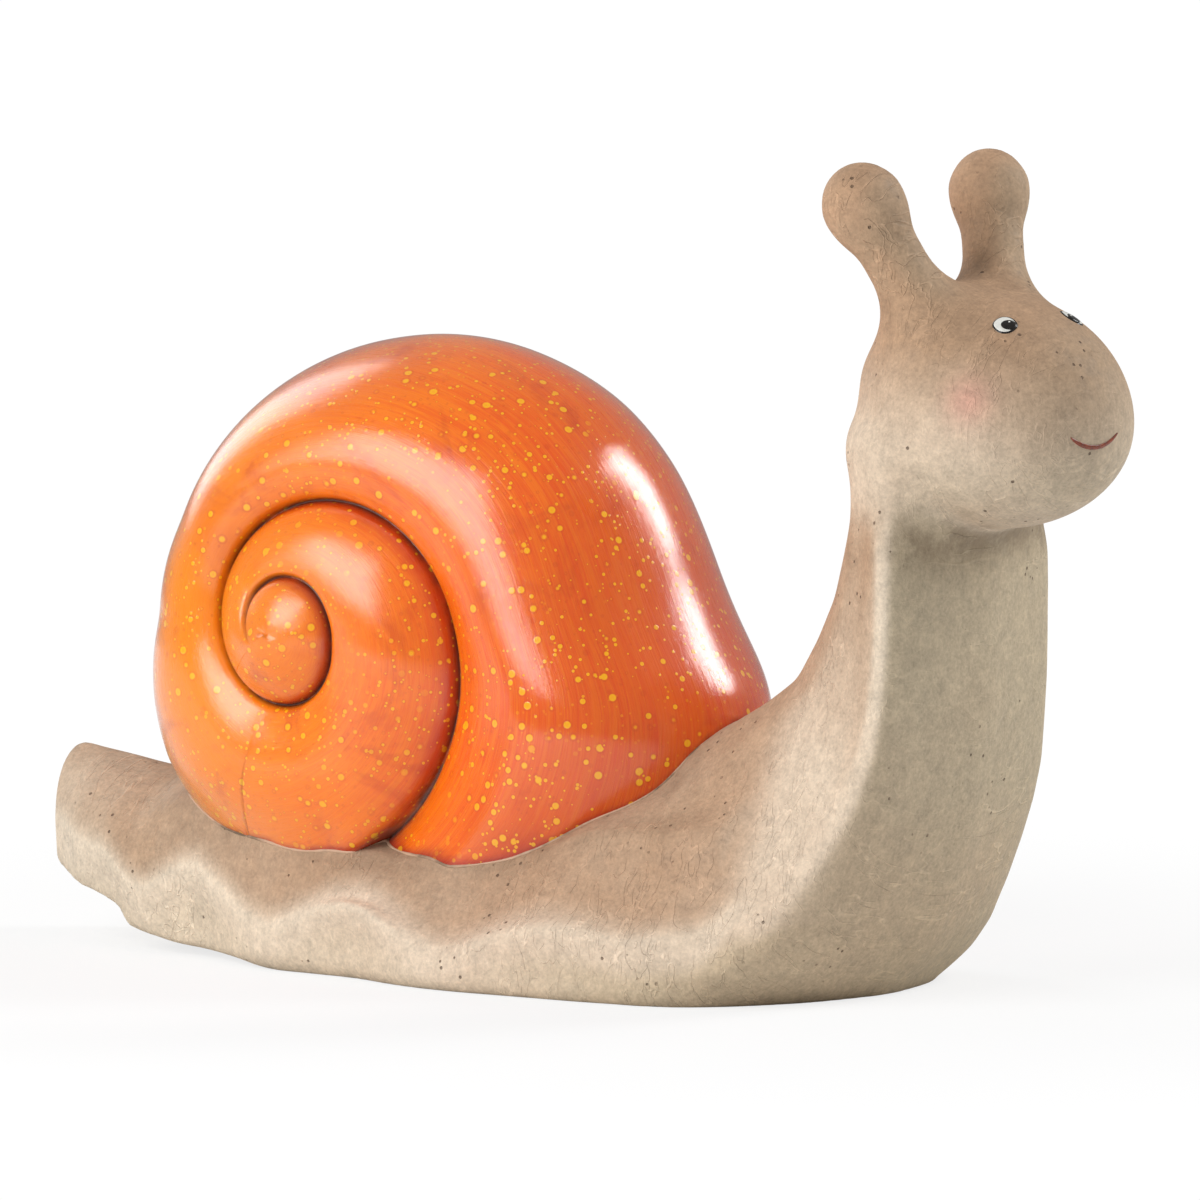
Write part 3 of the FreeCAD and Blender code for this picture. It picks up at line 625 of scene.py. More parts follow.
class Nodes:
    """A material's node tree, with short calls for the nodes that a finish is made of."""

    def __init__(self, name):
        self.material = bpy.data.materials.new(name)
        self.material.use_nodes = True
        self.tree = self.material.node_tree
        self.tree.nodes.clear()
        self.output = self.tree.nodes.new("ShaderNodeOutputMaterial")
        self.shader = self.tree.nodes.new("ShaderNodeBsdfPrincipled")
        self.tree.links.new(self.shader.outputs["BSDF"], self.output.inputs["Surface"])
        self.place = self.tree.nodes.new("ShaderNodeTexCoord").outputs["Object"]

    def feed(self, socket, value):
        if isinstance(value, bpy.types.NodeSocket):
            self.tree.links.new(value, socket)
        elif value is not None:
            socket.default_value = value

    def maths(self, operation, first, second=None, third=None, clamp=False):
        node = self.tree.nodes.new("ShaderNodeMath")
        node.operation = operation
        node.use_clamp = clamp
        for socket, value in zip(node.inputs, (first, second, third)):
            self.feed(socket, value)
        return node.outputs[0]

    def noise(self, scale, detail=3.0, roughness=0.55, place=None, distortion=0.0):
        node = self.tree.nodes.new("ShaderNodeTexNoise")
        self.feed(node.inputs["Vector"], place or self.place)
        node.inputs["Scale"].default_value = scale
        node.inputs["Detail"].default_value = detail
        node.inputs["Roughness"].default_value = roughness
        node.inputs["Distortion"].default_value = distortion
        return node.outputs["Fac"]

    def cells(self, scale, output="Distance"):
        node = self.tree.nodes.new("ShaderNodeTexVoronoi")
        self.feed(node.inputs["Vector"], self.place)
        node.inputs["Scale"].default_value = scale
        return node.outputs[output]

    def stretched(self, scale, turn=(0, 0, 0), place=None):
        node = self.tree.nodes.new("ShaderNodeMapping")
        self.feed(node.inputs["Vector"], place or self.place)
        node.inputs["Scale"].default_value = scale
        node.inputs["Rotation"].default_value = [math.radians(part) for part in turn]
        return node.outputs["Vector"]

    def ramp(self, value, low, high, start=0.0, end=1.0):
        node = self.tree.nodes.new("ShaderNodeMapRange")
        node.interpolation_type = "SMOOTHSTEP"
        for socket, part in zip(node.inputs, (value, low, high, start, end)):
            self.feed(socket, part)
        return node.outputs["Result"]

    def mix(self, share, first, second, blend="MIX"):
        node = self.tree.nodes.new("ShaderNodeMix")
        node.data_type = "RGBA"
        node.blend_type = blend
        self.feed(node.inputs["Factor"], share)
        self.feed(node.inputs["A"], self.full(first))
        self.feed(node.inputs["B"], self.full(second))
        return node.outputs["Result"]

    @staticmethod
    def full(tint):
        return tint if isinstance(tint, bpy.types.NodeSocket) else (*tint[:3], 1.0)

    def grey(self, value):
        """A grey tint of a given lightness."""
        node = self.tree.nodes.new("ShaderNodeCombineColor")
        for socket in node.inputs:
            self.feed(socket, value)
        return node.outputs["Color"]

    def mask(self, name):
        node = self.tree.nodes.new("ShaderNodeAttribute")
        node.attribute_name = name
        return node.outputs["Fac"]

    def bump(self, height, distance, below=None):
        node = self.tree.nodes.new("ShaderNodeBump")
        node.inputs["Strength"].default_value = 1.0
        node.inputs["Distance"].default_value = distance
        self.feed(node.inputs["Height"], height)
        self.feed(node.inputs["Normal"], below)
        return node.outputs["Normal"]

    def hairlines(self, scale, turn, width, seed):
        """Short fine strokes, as a brush or a cloth leaves them in dry paint."""
        place = self.stretched((1.0, 0.10, 0.5), turn)
        shifted = self.tree.nodes.new("ShaderNodeVectorMath")
        shifted.operation = "ADD"
        self.feed(shifted.inputs[0], place)
        shifted.inputs[1].default_value = (seed, seed * 0.7, seed * 1.3)
        field = self.noise(scale, 2.0, 0.5, shifted.outputs[0], 0.3)
        line = self.maths("ABSOLUTE", self.maths("SUBTRACT", field, 0.5))
        thin = self.ramp(line, 0.0, width, 1.0, 0.0)
        broken = self.ramp(self.noise(scale * 0.9, 1.0, 0.5, shifted.outputs[0]), 0.47, 0.54)
        return self.maths("MULTIPLY", thin, broken)


def body_finish(settings):
    """Matt cold paint, brushed on in thin coats, with umber painted shade in the recesses and creases
    and grey-green painted shade where the body faces away from the light.
    """
    n = Nodes("painted_clay")
    blotch = n.noise(22.0, 5.0, 0.6)
    fine = n.noise(170.0, 4.0, 0.65)
    grain = n.noise(900.0, 2.0, 0.6)
    strokes = n.noise(120.0, 4.0, 0.6, n.stretched((1.0, 1.0, 0.13), (8, 14, 0)), 0.4)
    cross = n.noise(130.0, 4.0, 0.6, n.stretched((0.14, 1.0, 1.0), (0, -10, 12)), 0.4)
    fibres = n.maths("MAXIMUM", n.hairlines(150.0, (10, 25, 30), 0.016, 3.1),
                     n.hairlines(170.0, (70, -30, 110), 0.015, 11.7))
    fibres = n.maths("MAXIMUM", fibres, n.hairlines(120.0, (-35, 60, -50), 0.013, 23.9))
    patch = n.ramp(n.noise(16.0, 2.0, 0.5), 0.42, 0.62, 0.25, 1.0)
    fibres = n.maths("MULTIPLY", fibres, patch)
    drift = n.maths("MULTIPLY_ADD", n.maths("SUBTRACT", blotch, 0.5), 0.55, n.mask("tan"), clamp=True)
    tint = n.mix(drift, settings.cream, settings.tan)
    # grey-green painted shade
    tint = n.mix(n.mask("painted_shade_olive"), tint, settings.painted_shade_olive)
    warm = n.ramp(n.noise(9.0, 2.0, 0.5), 0.35, 0.7, 0.0, 0.16)
    tint = n.mix(warm, tint, paint(206, 158, 126))
    tint = n.mix(n.maths("MULTIPLY", n.mask("blush"), 0.62), tint, settings.blush)
    streak = n.maths("ADD", n.ramp(strokes, 0.32, 0.68, -0.5, 0.5),
                     n.ramp(cross, 0.32, 0.68, -0.5, 0.5))
    light = n.maths("MULTIPLY_ADD", streak, 0.035, 1.0)
    for speckle, depth in ((fine, 0.55), (n.noise(420.0, 3.0, 0.7), 0.50), (grain, 0.5)):
        light = n.maths("MULTIPLY_ADD", n.maths("SUBTRACT", speckle, 0.5), depth, light)
    light = n.maths("MULTIPLY_ADD", fibres, 0.24, light)
    tint = n.mix(1.0, tint, n.grey(light), "MULTIPLY")
    # umber painted shade, broken by noise, with random umber smudges over the tan
    uneven = n.ramp(n.noise(60.0, 5.0, 0.65), 0.3, 0.62, 0.25, 1.0)
    shade_and_wash = n.maths("MULTIPLY", n.mask("shade_and_wash"), uneven)
    smudge = n.ramp(n.noise(26.0, 5.0, 0.7), 0.54, 0.72, 0.0, 0.26)
    shade_and_wash = n.maths("MAXIMUM", shade_and_wash, n.maths("MULTIPLY", smudge, n.mask("tan")))
    tint = n.mix(n.maths("MULTIPLY", shade_and_wash, 0.8), tint, settings.umber)
    speck = n.cells(230.0)
    pores = n.ramp(speck, 0.08, 0.15, 1.0, 0.0)
    rare = n.ramp(n.noise(42.0, 2.0, 0.5), 0.54, 0.60)
    pores = n.maths("MULTIPLY", pores, rare)
    tint = n.mix(n.maths("MULTIPLY", pores, 0.75), tint, paint(92, 72, 56))
    n.feed(n.shader.inputs["Base Color"], tint)
    n.feed(n.shader.inputs["Roughness"], n.ramp(fine, 0.3, 0.7, 0.62, 0.82))
    n.shader.inputs["Specular IOR Level"].default_value = 0.28
    dents = n.bump(n.noise(38.0, 3.0, 0.5), 0.0011)
    brushed = n.bump(n.maths("ADD", strokes, cross), 0.00012, dents)
    scratched = n.bump(fibres, 0.00022, brushed)
    rough = n.maths("ADD", fine, n.noise(420.0, 3.0, 0.7))
    grained = n.bump(n.maths("MULTIPLY_ADD", pores, -2.2, rough), 0.00026, scratched)
    n.feed(n.shader.inputs["Normal"], grained)
    return n.material


def spatter_dots(n, scale, size, share):
    """Round spatter drops: the drop, the soft darker ring round it and its core."""
    distance = n.cells(scale)
    random = n.tree.nodes.new("ShaderNodeSeparateColor")
    n.feed(random.inputs[0], n.cells(scale, "Color"))
    kept = n.ramp(random.outputs[0], share, share + 0.01, 1.0, 0.0)
    radius = n.maths("MULTIPLY_ADD", random.outputs[1], size * 0.75, size * 0.45)
    edge = n.maths("DIVIDE", distance, radius)
    drop = n.maths("MULTIPLY", n.ramp(edge, 0.72, 1.0, 1.0, 0.0), kept)
    core = n.maths("MULTIPLY", n.ramp(edge, 0.15, 0.6, 1.0, 0.0), kept)
    from_ring = n.maths("ABSOLUTE", n.maths("SUBTRACT", edge, 1.15))
    ring = n.maths("MULTIPLY", n.ramp(from_ring, 0.0, 0.35, 1.0, 0.0), kept)
    return drop, ring, core


def glaze_finish(settings):
    """Glossy glaze over brushed orange, with painted shade in the sutures, spattered with yellow."""
    n = Nodes("glazed_shell")
    whorl = n.tree.nodes.new("ShaderNodeUVMap")
    whorl.uv_map = "whorl"
    strokes_place = n.stretched((11.0, 24.0, 1.0), place=whorl.outputs["UV"])
    strokes = n.noise(1.3, 6.0, 0.66, strokes_place, 1.6)
    hairs = n.noise(6.5, 4.0, 0.7, strokes_place, 1.1)
    blotch = n.noise(17.0, 4.0, 0.6)
    patches = n.noise(34.0, 4.0, 0.62, distortion=0.8)
    tint = n.mix(n.ramp(strokes, 0.34, 0.66), settings.orange, settings.amber)
    tint = n.mix(n.ramp(blotch, 0.42, 0.68, 0.0, 0.55), tint, settings.amber)
    split = n.tree.nodes.new("ShaderNodeSeparateXYZ")
    n.feed(split.inputs[0], n.place)
    along = n.maths("MULTIPLY_ADD", n.maths("SUBTRACT", blotch, 0.5), 0.12, split.outputs["X"])
    tint = n.mix(n.ramp(along, -0.005, -0.13, 0.0, 0.7), tint, settings.straw)
    tint = n.mix(n.ramp(along, -0.035, 0.045, 0.0, 0.42), tint, settings.rust)
    tint = n.mix(n.ramp(n.noise(9.0, 3.0, 0.55), 0.48, 0.70, 0.0, 0.5), tint, settings.rust)
    tint = n.mix(n.ramp(patches, 0.52, 0.72, 0.0, 0.45), tint, settings.rust)
    tint = n.mix(n.ramp(hairs, 0.56, 0.74, 0.0, 0.25), tint, settings.rust)
    # painted shade in rust, in the sutures and where the shell sits in the body, with a noisy edge
    deep = n.mask("deep")
    edge_noise = n.maths("MULTIPLY_ADD", n.maths("SUBTRACT", patches, 0.5), 0.9, deep, clamp=True)
    shaded = n.ramp(n.maths("MULTIPLY", edge_noise, deep), 0.03, 0.75, 0.0, 0.85)
    tint = n.mix(shaded, tint, settings.rust)
    drops, rings, cores = spatter_dots(n, 215.0, 0.27, 0.85)
    small, small_rings, small_cores = spatter_dots(n, 420.0, 0.26, 0.80)
    small_share = n.ramp(n.noise(20.0, 2.0, 0.5), 0.42, 0.52, 0.15, 1.0)
    small = n.maths("MULTIPLY", small, small_share)
    turned = n.stretched((1, 1, 1), (40, 20, 0))
    large_share = n.ramp(n.noise(14.0, 2.0, 0.5, turned), 0.36, 0.48, 0.15, 1.0)
    drops = n.maths("MULTIPLY", drops, large_share)
    ring = n.maths("MAXIMUM", n.maths("MULTIPLY", rings, large_share),
                   n.maths("MULTIPLY", small_rings, small_share))
    tint = n.mix(n.maths("MULTIPLY", ring, 0.22), tint, settings.rust)
    spatter = n.maths("MAXIMUM", drops, small)
    tint = n.mix(n.maths("MULTIPLY", spatter, 0.78), tint, settings.spatter)
    core = n.maths("MAXIMUM", n.maths("MULTIPLY", cores, large_share),
                   n.maths("MULTIPLY", small_cores, small_share))
    tint = n.mix(n.maths("MULTIPLY", core, 0.25), tint, settings.amber)
    # thin painted shade line in umber along the bottom of the sutures and the seat, broken by noise
    broken = n.ramp(n.noise(90.0, 3.0, 0.6), 0.30, 0.55, 0.45, 1.0)
    tint = n.mix(n.maths("MULTIPLY", n.mask("line"), broken), tint, settings.umber)
    n.feed(n.shader.inputs["Base Color"], tint)
    n.feed(n.shader.inputs["Roughness"], n.ramp(hairs, 0.3, 0.7, 0.24, 0.36))
    n.shader.inputs["Coat Weight"].default_value = 1.0
    n.shader.inputs["Coat Roughness"].default_value = 0.03
    n.shader.inputs["Coat IOR"].default_value = 1.7
    n.shader.inputs["Specular IOR Level"].default_value = 0.15
    relief = n.maths("ADD", strokes, n.maths("MULTIPLY", hairs, 0.6))
    n.feed(n.shader.inputs["Normal"], n.bump(relief, 0.00015))
    ripple = n.bump(n.noise(46.0, 2.0, 0.5), 0.00010)
    poured = n.bump(relief, 0.00005, ripple)
    n.feed(n.shader.inputs["Coat Normal"], n.bump(spatter, 0.00003, poured))
    return n.material


def seam_finish(settings, dark):
    """Bare pale slip, broken by the dark wash that ran into it."""
    n = Nodes("bare_slip")
    broken = n.ramp(n.noise(38.0, 4.0, 0.65), 0.36, 0.56)
    tint = n.mix(broken, dark, settings.seam)
    n.feed(n.shader.inputs["Base Color"], tint)
    n.feed(n.shader.inputs["Roughness"], n.ramp(broken, 0.0, 1.0, 0.7, 0.5))
    n.feed(n.shader.inputs["Normal"], n.bump(n.noise(400.0, 3.0), 0.0003))
    return n.material


def slab_finish():
    """Bare fired clay with scraped marks and grog."""
    n = Nodes("fired_clay")
    scraped = n.noise(60.0, 4.0, 0.6, n.stretched((0.2, 1.0, 1.0), (0, 0, 12)))
    grog = n.cells(420.0)
    tint = n.mix(n.ramp(scraped, 0.3, 0.7), paint(186, 142, 110), paint(212, 172, 138))
    tint = n.mix(n.ramp(grog, 0.05, 0.16, 0.6, 0.0), tint, paint(120, 84, 62))
    n.feed(n.shader.inputs["Base Color"], tint)
    n.feed(n.shader.inputs["Roughness"], n.ramp(scraped, 0.3, 0.7, 0.78, 0.9))
    rough = n.bump(n.maths("ADD", scraped, n.noise(300.0, 3.0)), 0.0006)
    n.feed(n.shader.inputs["Normal"], rough)
    return n.material


def enamel_finish(name, tint, worn):
    """Gloss enamel laid on with a small brush."""
    n = Nodes(name)
    uneven = n.noise(700.0, 4.0, 0.6)
    n.feed(n.shader.inputs["Base Color"], n.mix(n.ramp(uneven, 0.35, 0.7), tint, worn))
    n.feed(n.shader.inputs["Roughness"], n.ramp(uneven, 0.3, 0.7, 0.16, 0.30))
    n.feed(n.shader.inputs["Normal"], n.bump(uneven, 0.00006))
    return n.material


def give(piece, material):
    """Puts one material on a piece."""
    piece.data.materials.clear()
    piece.data.materials.append(material)


# ---------------------------------------------------------------- body, stalks and slab

def tool_mesh(name, vertices, faces):
    """A cutting tool from points in millimetres."""
    mesh = bpy.data.meshes.new(name)
    mesh.from_pydata((np.asarray(vertices, float) * MM).tolist(), [], faces)
    tool = bpy.data.objects.new(name, mesh)
    bpy.context.scene.collection.objects.link(tool)
    return tool


def prism(name, outline, low, high):
    """A straight-sided tool from an outline of (x, y) points."""
    count = len(outline)
    vertices = [(x, y, low) for x, y in outline] + [(x, y, high) for x, y in outline]
    faces = [list(range(count - 1, -1, -1)), list(range(count, 2 * count))]
    faces += [[i, (i + 1) % count, count + (i + 1) % count, count + i] for i in range(count)]
    return tool_mesh(name, vertices, faces)


def apply_boolean(piece, tool, operation):
    """Cuts a piece with a tool, or keeps what the two share, and drops the tool."""
    cutter = piece.modifiers.new("cut", "BOOLEAN")
    cutter.operation = operation
    cutter.solver = "MANIFOLD"
    cutter.object = tool
    graph = bpy.context.evaluated_depsgraph_get()
    mesh = bpy.data.meshes.new_from_object(piece.evaluated_get(graph))
    piece.modifiers.clear()
    old = piece.data
    piece.data = mesh
    bpy.data.meshes.remove(old)
    spent = tool.data
    bpy.data.objects.remove(tool)
    bpy.data.meshes.remove(spent)


def fix_normals(mesh):
    """Turns all faces of a closed mesh outwards."""
    check = bmesh.new()
    check.from_mesh(mesh)
    bmesh.ops.recalc_face_normals(check, faces=check.faces)
    check.to_mesh(mesh)
    check.free()


def stalk_block(way):
    """A block that holds one eye stalk, from where it is luted on the head."""
    root, axis = stalk_line(way)
    across = axis.cross(Vector((1, 0, 0))).normalized()
    other = axis.cross(across)
    corners = []
    half = 20
    for along in (STALK_CUT, STALK_LENGTH + 30):
        for a, b in ((-1, -1), (1, -1), (1, 1), (-1, 1)):
            corners.append(root + axis * along + across * (a * half) + other * (b * half))
    faces = [[0, 3, 2, 1], [4, 5, 6, 7], [0, 1, 5, 4], [1, 2, 6, 5], [2, 3, 7, 6], [3, 0, 4, 7]]
    tool = tool_mesh("stalk_block", [tuple(corner) for corner in corners], faces)
    fix_normals(tool.data)
    return tool


def slot_outline(grow):
    """The slot-shaped outline of the closing slab, grown by a clearance."""
    low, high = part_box("base_slab")
    radius = (high.y - low.y) / 2 / MM
    tail, head = low.x / MM + radius, high.x / MM - radius
    outline = []
    steps = 32
    for middle, start in ((tail, 90), (head, -90)):
        for step in range(steps + 1):
            turn = math.radians(start + 180 * step / steps)
            outline.append((
                middle + (radius + grow) * math.cos(turn), (radius + grow) * math.sin(turn)))
    return outline


def sharp_edges(piece, degrees=50):
    """Keeps the rims of cut faces crisp under smooth shading."""
    limit = math.radians(degrees)
    check = bmesh.new()
    check.from_mesh(piece.data)
    for edge in check.edges:
        edge.smooth = not (len(edge.link_faces) == 2 and edge.calc_face_angle() > limit)
    check.to_mesh(piece.data)
    check.free()


class SNAIL_OT_body(bpy.types.Operator):
    """Models the hollow body casting with its frilled foot, neck and head"""
    bl_idname = "snail.body"
    bl_label = "Body Casting"

    def execute(self, context):
        skin = Skin.get()
        points, quads = skin_mesh(skin)
        body = new_piece("snail_body", points, quads.tolist(), "body_casting")
        for way in (-1, 1):
            apply_boolean(body, stalk_block(way), "DIFFERENCE")
        slab_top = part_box("base_slab")[1].z / MM
        for grow, top in ((0.4, slab_top + 0.1), (-6.0, 24.0)):
            apply_boolean(body, prism("slot", slot_outline(grow), -10.0, top), "DIFFERENCE")
        body.data.shade_smooth()
        sharp_edges(body)
        store_masks(body, skin)
        give(body, body_finish(context.scene.snail_body))
        if len(body.data.polygons) < 1000:
            raise RuntimeError("the body's skin came out empty")
        return {"FINISHED"}


class SNAIL_OT_stalks(bpy.types.Operator):
    """Models the two ball-ended eye stalks that are luted on the head"""
    bl_idname = "snail.stalks"
    bl_label = "Eye Stalks"

    def execute(self, context):
        skin = Skin.get()
        points, quads = skin_mesh(skin)
        for side, way in (("right", -1), ("left", 1)):
            stalk = new_piece(
                "snail_stalk_" + side, points, quads.tolist(), "eye_stalk_" + side)
            apply_boolean(stalk, stalk_block(way), "INTERSECT")
            stalk.data.shade_smooth()
            sharp_edges(stalk)
            store_masks(stalk, skin)
            give(stalk, bpy.data.materials["painted_clay"])
            if len(stalk.data.polygons) < 100:
                raise RuntimeError("an eye stalk came out empty")
        return {"FINISHED"}


class SNAIL_OT_slab(bpy.types.Operator):
    """Finishes the closing slab under the foot in bare fired clay"""
    bl_idname = "snail.slab"
    bl_label = "Closing Slab"

    def execute(self, context):
        give(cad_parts["base_slab"], slab_finish())
        return {"FINISHED"}


# ---------------------------------------------------------------- shell

def suture_reach(turns):
    """Distance of the suture from the axis."""
    return flowing(SUTURE_LINE, turns, reach=5)


def suture_out(reach):
    """How far the suture stands out from the middle plane, at a distance from the axis."""
    return 46.7 + 26.0 * np.exp(-(reach / 36.4) ** 2)


def whorl_place(turns, reach, out):
    """A point of the shell, drawn in a little near the seat at the back."""
    turn = -2 * math.pi * turns
    level = SHELL_AXIS[1] + reach * math.sin(turn)
    along = SHELL_AXIS[0] + reach * math.cos(turn)
    tuck = 5.5 * fade(68, 38, level) * fade(-45, -65, along)
    return along, -max(out - float(tuck), 0.0), level


def rim_reach(turns):
    """Distance of the outer whorl's rim from the axis."""
    degrees = (-360 * turns + 108) % 360 - 108
    return float(flowing(SHELL_RIM, degrees, reach=9))


def crest_spot(turns, rim):
    """Where the outer whorl's section starts and where its crest is; it flares at its end."""
    flare = float(fade(*FLARE_TURNS, turns))
    inner = float(suture_reach(turns - 1))
    start = float(suture_out(inner))
    crest_reach = inner + (CREST_PLACE + CREST_SHIFT * flare) * (rim - inner)
    crest_out = start + CREST_RISE + FLARE * flare
    climb_power = 2.2 - 0.9 * flare
    return inner, start, crest_reach, crest_out, climb_power


def crest_curve(turns, rim, reach):
    """Outer whorl's section: up from its suture to a crest, then round to the middle plane."""
    inner, start, crest_reach, crest_out, power = crest_spot(turns, rim)
    climb = np.clip((reach - inner) / (crest_reach - inner), 0, 1)
    rising = crest_out - (crest_out - start) * (1 - climb) ** power
    past = np.clip((reach - crest_reach) / (rim - crest_reach), 0, 1)
    sine = past ** (1 / ROUNDNESS)
    falling = crest_out * (1 - sine * sine) ** (ROUNDNESS / 2)
    return np.where(reach < crest_reach, rising, falling)


def cap_out(reach, outer):
    """The shell's blunt tip: a smooth cap inside the first turn of the suture."""
    share = np.clip(reach / outer, 0, 1)
    return suture_out(reach) + 0.19 * outer * (1 - share * share) ** 0.6


def coil_row(turns, shares, first_turn):
    """One section of the coil, from its inner suture, or from the tip, to its outer one."""
    outer = float(suture_reach(turns))
    begun = float(fade(COIL_START, COIL_START + 0.24, turns))
    inside = float(fade(COIL_START + 1, COIL_START + 1.24, turns))
    opened = float(fade(0.08, 0.29, turns))
    if first_turn:
        inner = TIP_REACH
        reach = inner + shares * (outer - inner)
        closed = float(suture_reach(COIL_START + 1))
        out = cap_out(reach, outer) * begun + cap_out(reach, closed) * (1 - begun)
    else:
        inner = float(suture_reach(turns - 1))
        reach = inner + shares * (outer - inner)
        tube = suture_out(inner) + (suture_out(outer) - suture_out(inner)) * shares
        tube += 0.185 * (outer - inner) * np.sin(np.pi * shares ** 1.12) ** 0.72
        out = tube * inside + cap_out(reach, outer) * (1 - inside)
        out = out * (1 - opened) + crest_curve(turns, rim_reach(turns), reach) * opened
    width = outer - inner
    inner_gap = shares * width
    outer_gap = (1 - shares) * width
    lasting = begun * (1 - opened)
    groove = inside * np.exp(-(inner_gap / SUTURE_GROOVE) ** 2)
    groove = groove + lasting * np.exp(-(outer_gap / SUTURE_GROOVE) ** 2)
    out = out - 1.9 * groove
    # painted shade: darker towards the outer suture, where the whorl turns down away from the light,
    # and a little past the inner one
    deep = lasting * np.exp(-outer_gap / (0.16 * width + 1))
    deep = deep + inside * 0.5 * np.exp(-inner_gap / (0.05 * width + 0.6))
    # a thin painted shade line at the bottom of each suture
    line = lasting * np.exp(-(outer_gap / SUTURE_LINE_WIDTH) ** 2)
    line = line + inside * np.exp(-(inner_gap / SUTURE_LINE_WIDTH) ** 2)
    return reach, out, deep, line


def outer_row(turns, shares, beyond):
    """One section of the outer whorl, from its suture over the crest to the middle plane."""
    rim = rim_reach(turns)
    inner, _, crest_reach, crest_out, _ = crest_spot(turns, rim)
    halfway = inner + 0.52 * (rim - inner)
    near = inner + shares * (halfway - inner)
    near_out = crest_curve(turns, rim, near)
    begin = math.asin(((halfway - crest_reach) / (rim - crest_reach)) ** (1 / ROUNDNESS))
    turn = begin + (math.pi / 2 - begin) * beyond[1:]
    far = crest_reach + (rim - crest_reach) * np.sin(turn) ** ROUNDNESS
    far_out = crest_out * np.cos(turn) ** ROUNDNESS
    far_out[-1] = 0.0
    reach = np.concatenate([near, far])
    out = np.concatenate([near_out, far_out])
    # the far end closes on the near end, out of sight under the seam
    closing = float(fade(*CLOSING_TURNS, turns))
    if closing > 0:
        out = out * (1 - closing) + crest_curve(turns - 1, rim, reach) * closing
    gap = reach - inner
    shown = 1 - closing
    out = out - 1.7 * shown * np.exp(-(gap / SUTURE_GROOVE) ** 2)
    # painted shade just past the suture, and a thin painted shade line at its bottom
    deep = 0.5 * shown * np.exp(-gap / 2.6)
    line = shown * np.exp(-(gap / SUTURE_LINE_WIDTH) ** 2)
    return reach, out, deep, line


def join_ends(points, near_end, far_end):
    """Triangles from the outer whorl's near end to its far end, each with its step along the near."""
    def from_axis(index):
        x, _, z = points[index]
        return math.hypot(x - SHELL_AXIS[0], z - SHELL_AXIS[1])

    triangles = []
    near = far = 0
    while near < len(near_end) - 1 or far < len(far_end) - 1:
        on_near = far == len(far_end) - 1
        if not on_near and near < len(near_end) - 1:
            on_near = from_axis(near_end[near + 1]) < from_axis(far_end[far + 1])
        third = near_end[near + 1] if on_near else far_end[far + 1]
        triangles.append(((far_end[far], near_end[near], third), near, on_near))
        if on_near:
            near += 1
        else:
            far += 1
    return triangles


def shell_half(columns):
    """The right half of the shell: points, faces, whorl coordinates and the masks of its painted
    shade.
    """
    across = 26                   # mesh rows from suture to suture
    over = 30                     # further rows over the outer whorl's crest
    shares = 0.5 - 0.5 * np.cos(np.pi * np.arange(across + 1) / across)
    beyond = np.arange(over + 1) / over
    spans = np.concatenate([shares, 1 + beyond[1:]])
    first = round(COIL_START * columns)
    second = first + columns
    middle = round(COIL_END * columns)
    last = middle + columns
    points, deep, line = [], [], []
    key = {}
    spots = [(column, True) for column in range(first, second + 1)]
    spots += [(column, False) for column in range(second, last + 1)]
    for column, first_turn in spots:
        turns = column / columns
        if column <= middle:
            reach, out, depths, marks = coil_row(turns, shares, first_turn)
            rows = across
        else:
            reach, out, depths, marks = outer_row(turns, shares, beyond)
            rows = across + over + 1
        for row in range(rows):
            key[(column, row, first_turn)] = len(points)
            points.append(whorl_place(turns, reach[row], out[row]))
            deep.append(depths[row])
            line.append(marks[row])

    def corner(column, row, first_turn):
        if column <= middle and row == across:
            return key[(column + columns, 0, False)]
        return key[(column, row, first_turn)]

    faces, uvs = [], []
    for column in range(first, last):
        inmost = column < second
        here, after = column / columns, (column + 1) / columns
        for row in range(across + over if column > middle else across):
            faces.append((corner(column, row, inmost), corner(column + 1, row, inmost),
                          corner(column + 1, row + 1, inmost), corner(column, row + 1, inmost)))
            uvs.append([(here, spans[row]), (after, spans[row]),
                        (after, spans[row + 1]), (here, spans[row + 1])])
    # the outer whorl's far end meets its near end in a narrow strip of triangles
    near_end = [key[(middle + 1, row, False)] for row in range(across, across + over + 1)]
    far_end = [key[(last, row, False)] for row in range(across + over + 1)]
    here, after = middle / columns, (middle + 1) / columns
    for triangle, step, on_near in join_ends(points, near_end, far_end):
        span = spans[across + step]
        third = (after, spans[across + step + 1]) if on_near else (here, span)
        faces.append(triangle)
        uvs.append([(here, span), (after, span), third])
    # the tip is closed round the first turn's inner edge
    tip = len(points)
    top = cap_out(TIP_REACH, float(suture_reach(COIL_START + 1)))
    points.append((SHELL_AXIS[0], -float(top), SHELL_AXIS[1]))
    deep.append(0.0)
    line.append(0.0)
    for column in range(first, second):
        faces.append((key[(column + 1, 0, True)], key[(column, 0, True)], tip))
        uvs.append([(column / columns, 0.0)] * 3)
    return np.array(points), faces, uvs, np.array(deep), np.array(line)


def trim_level(x):
    """Level of the shell's lower edge, bedded in the body."""
    return flowing(SEAT_LINE, x) - SEAT_BEDDING


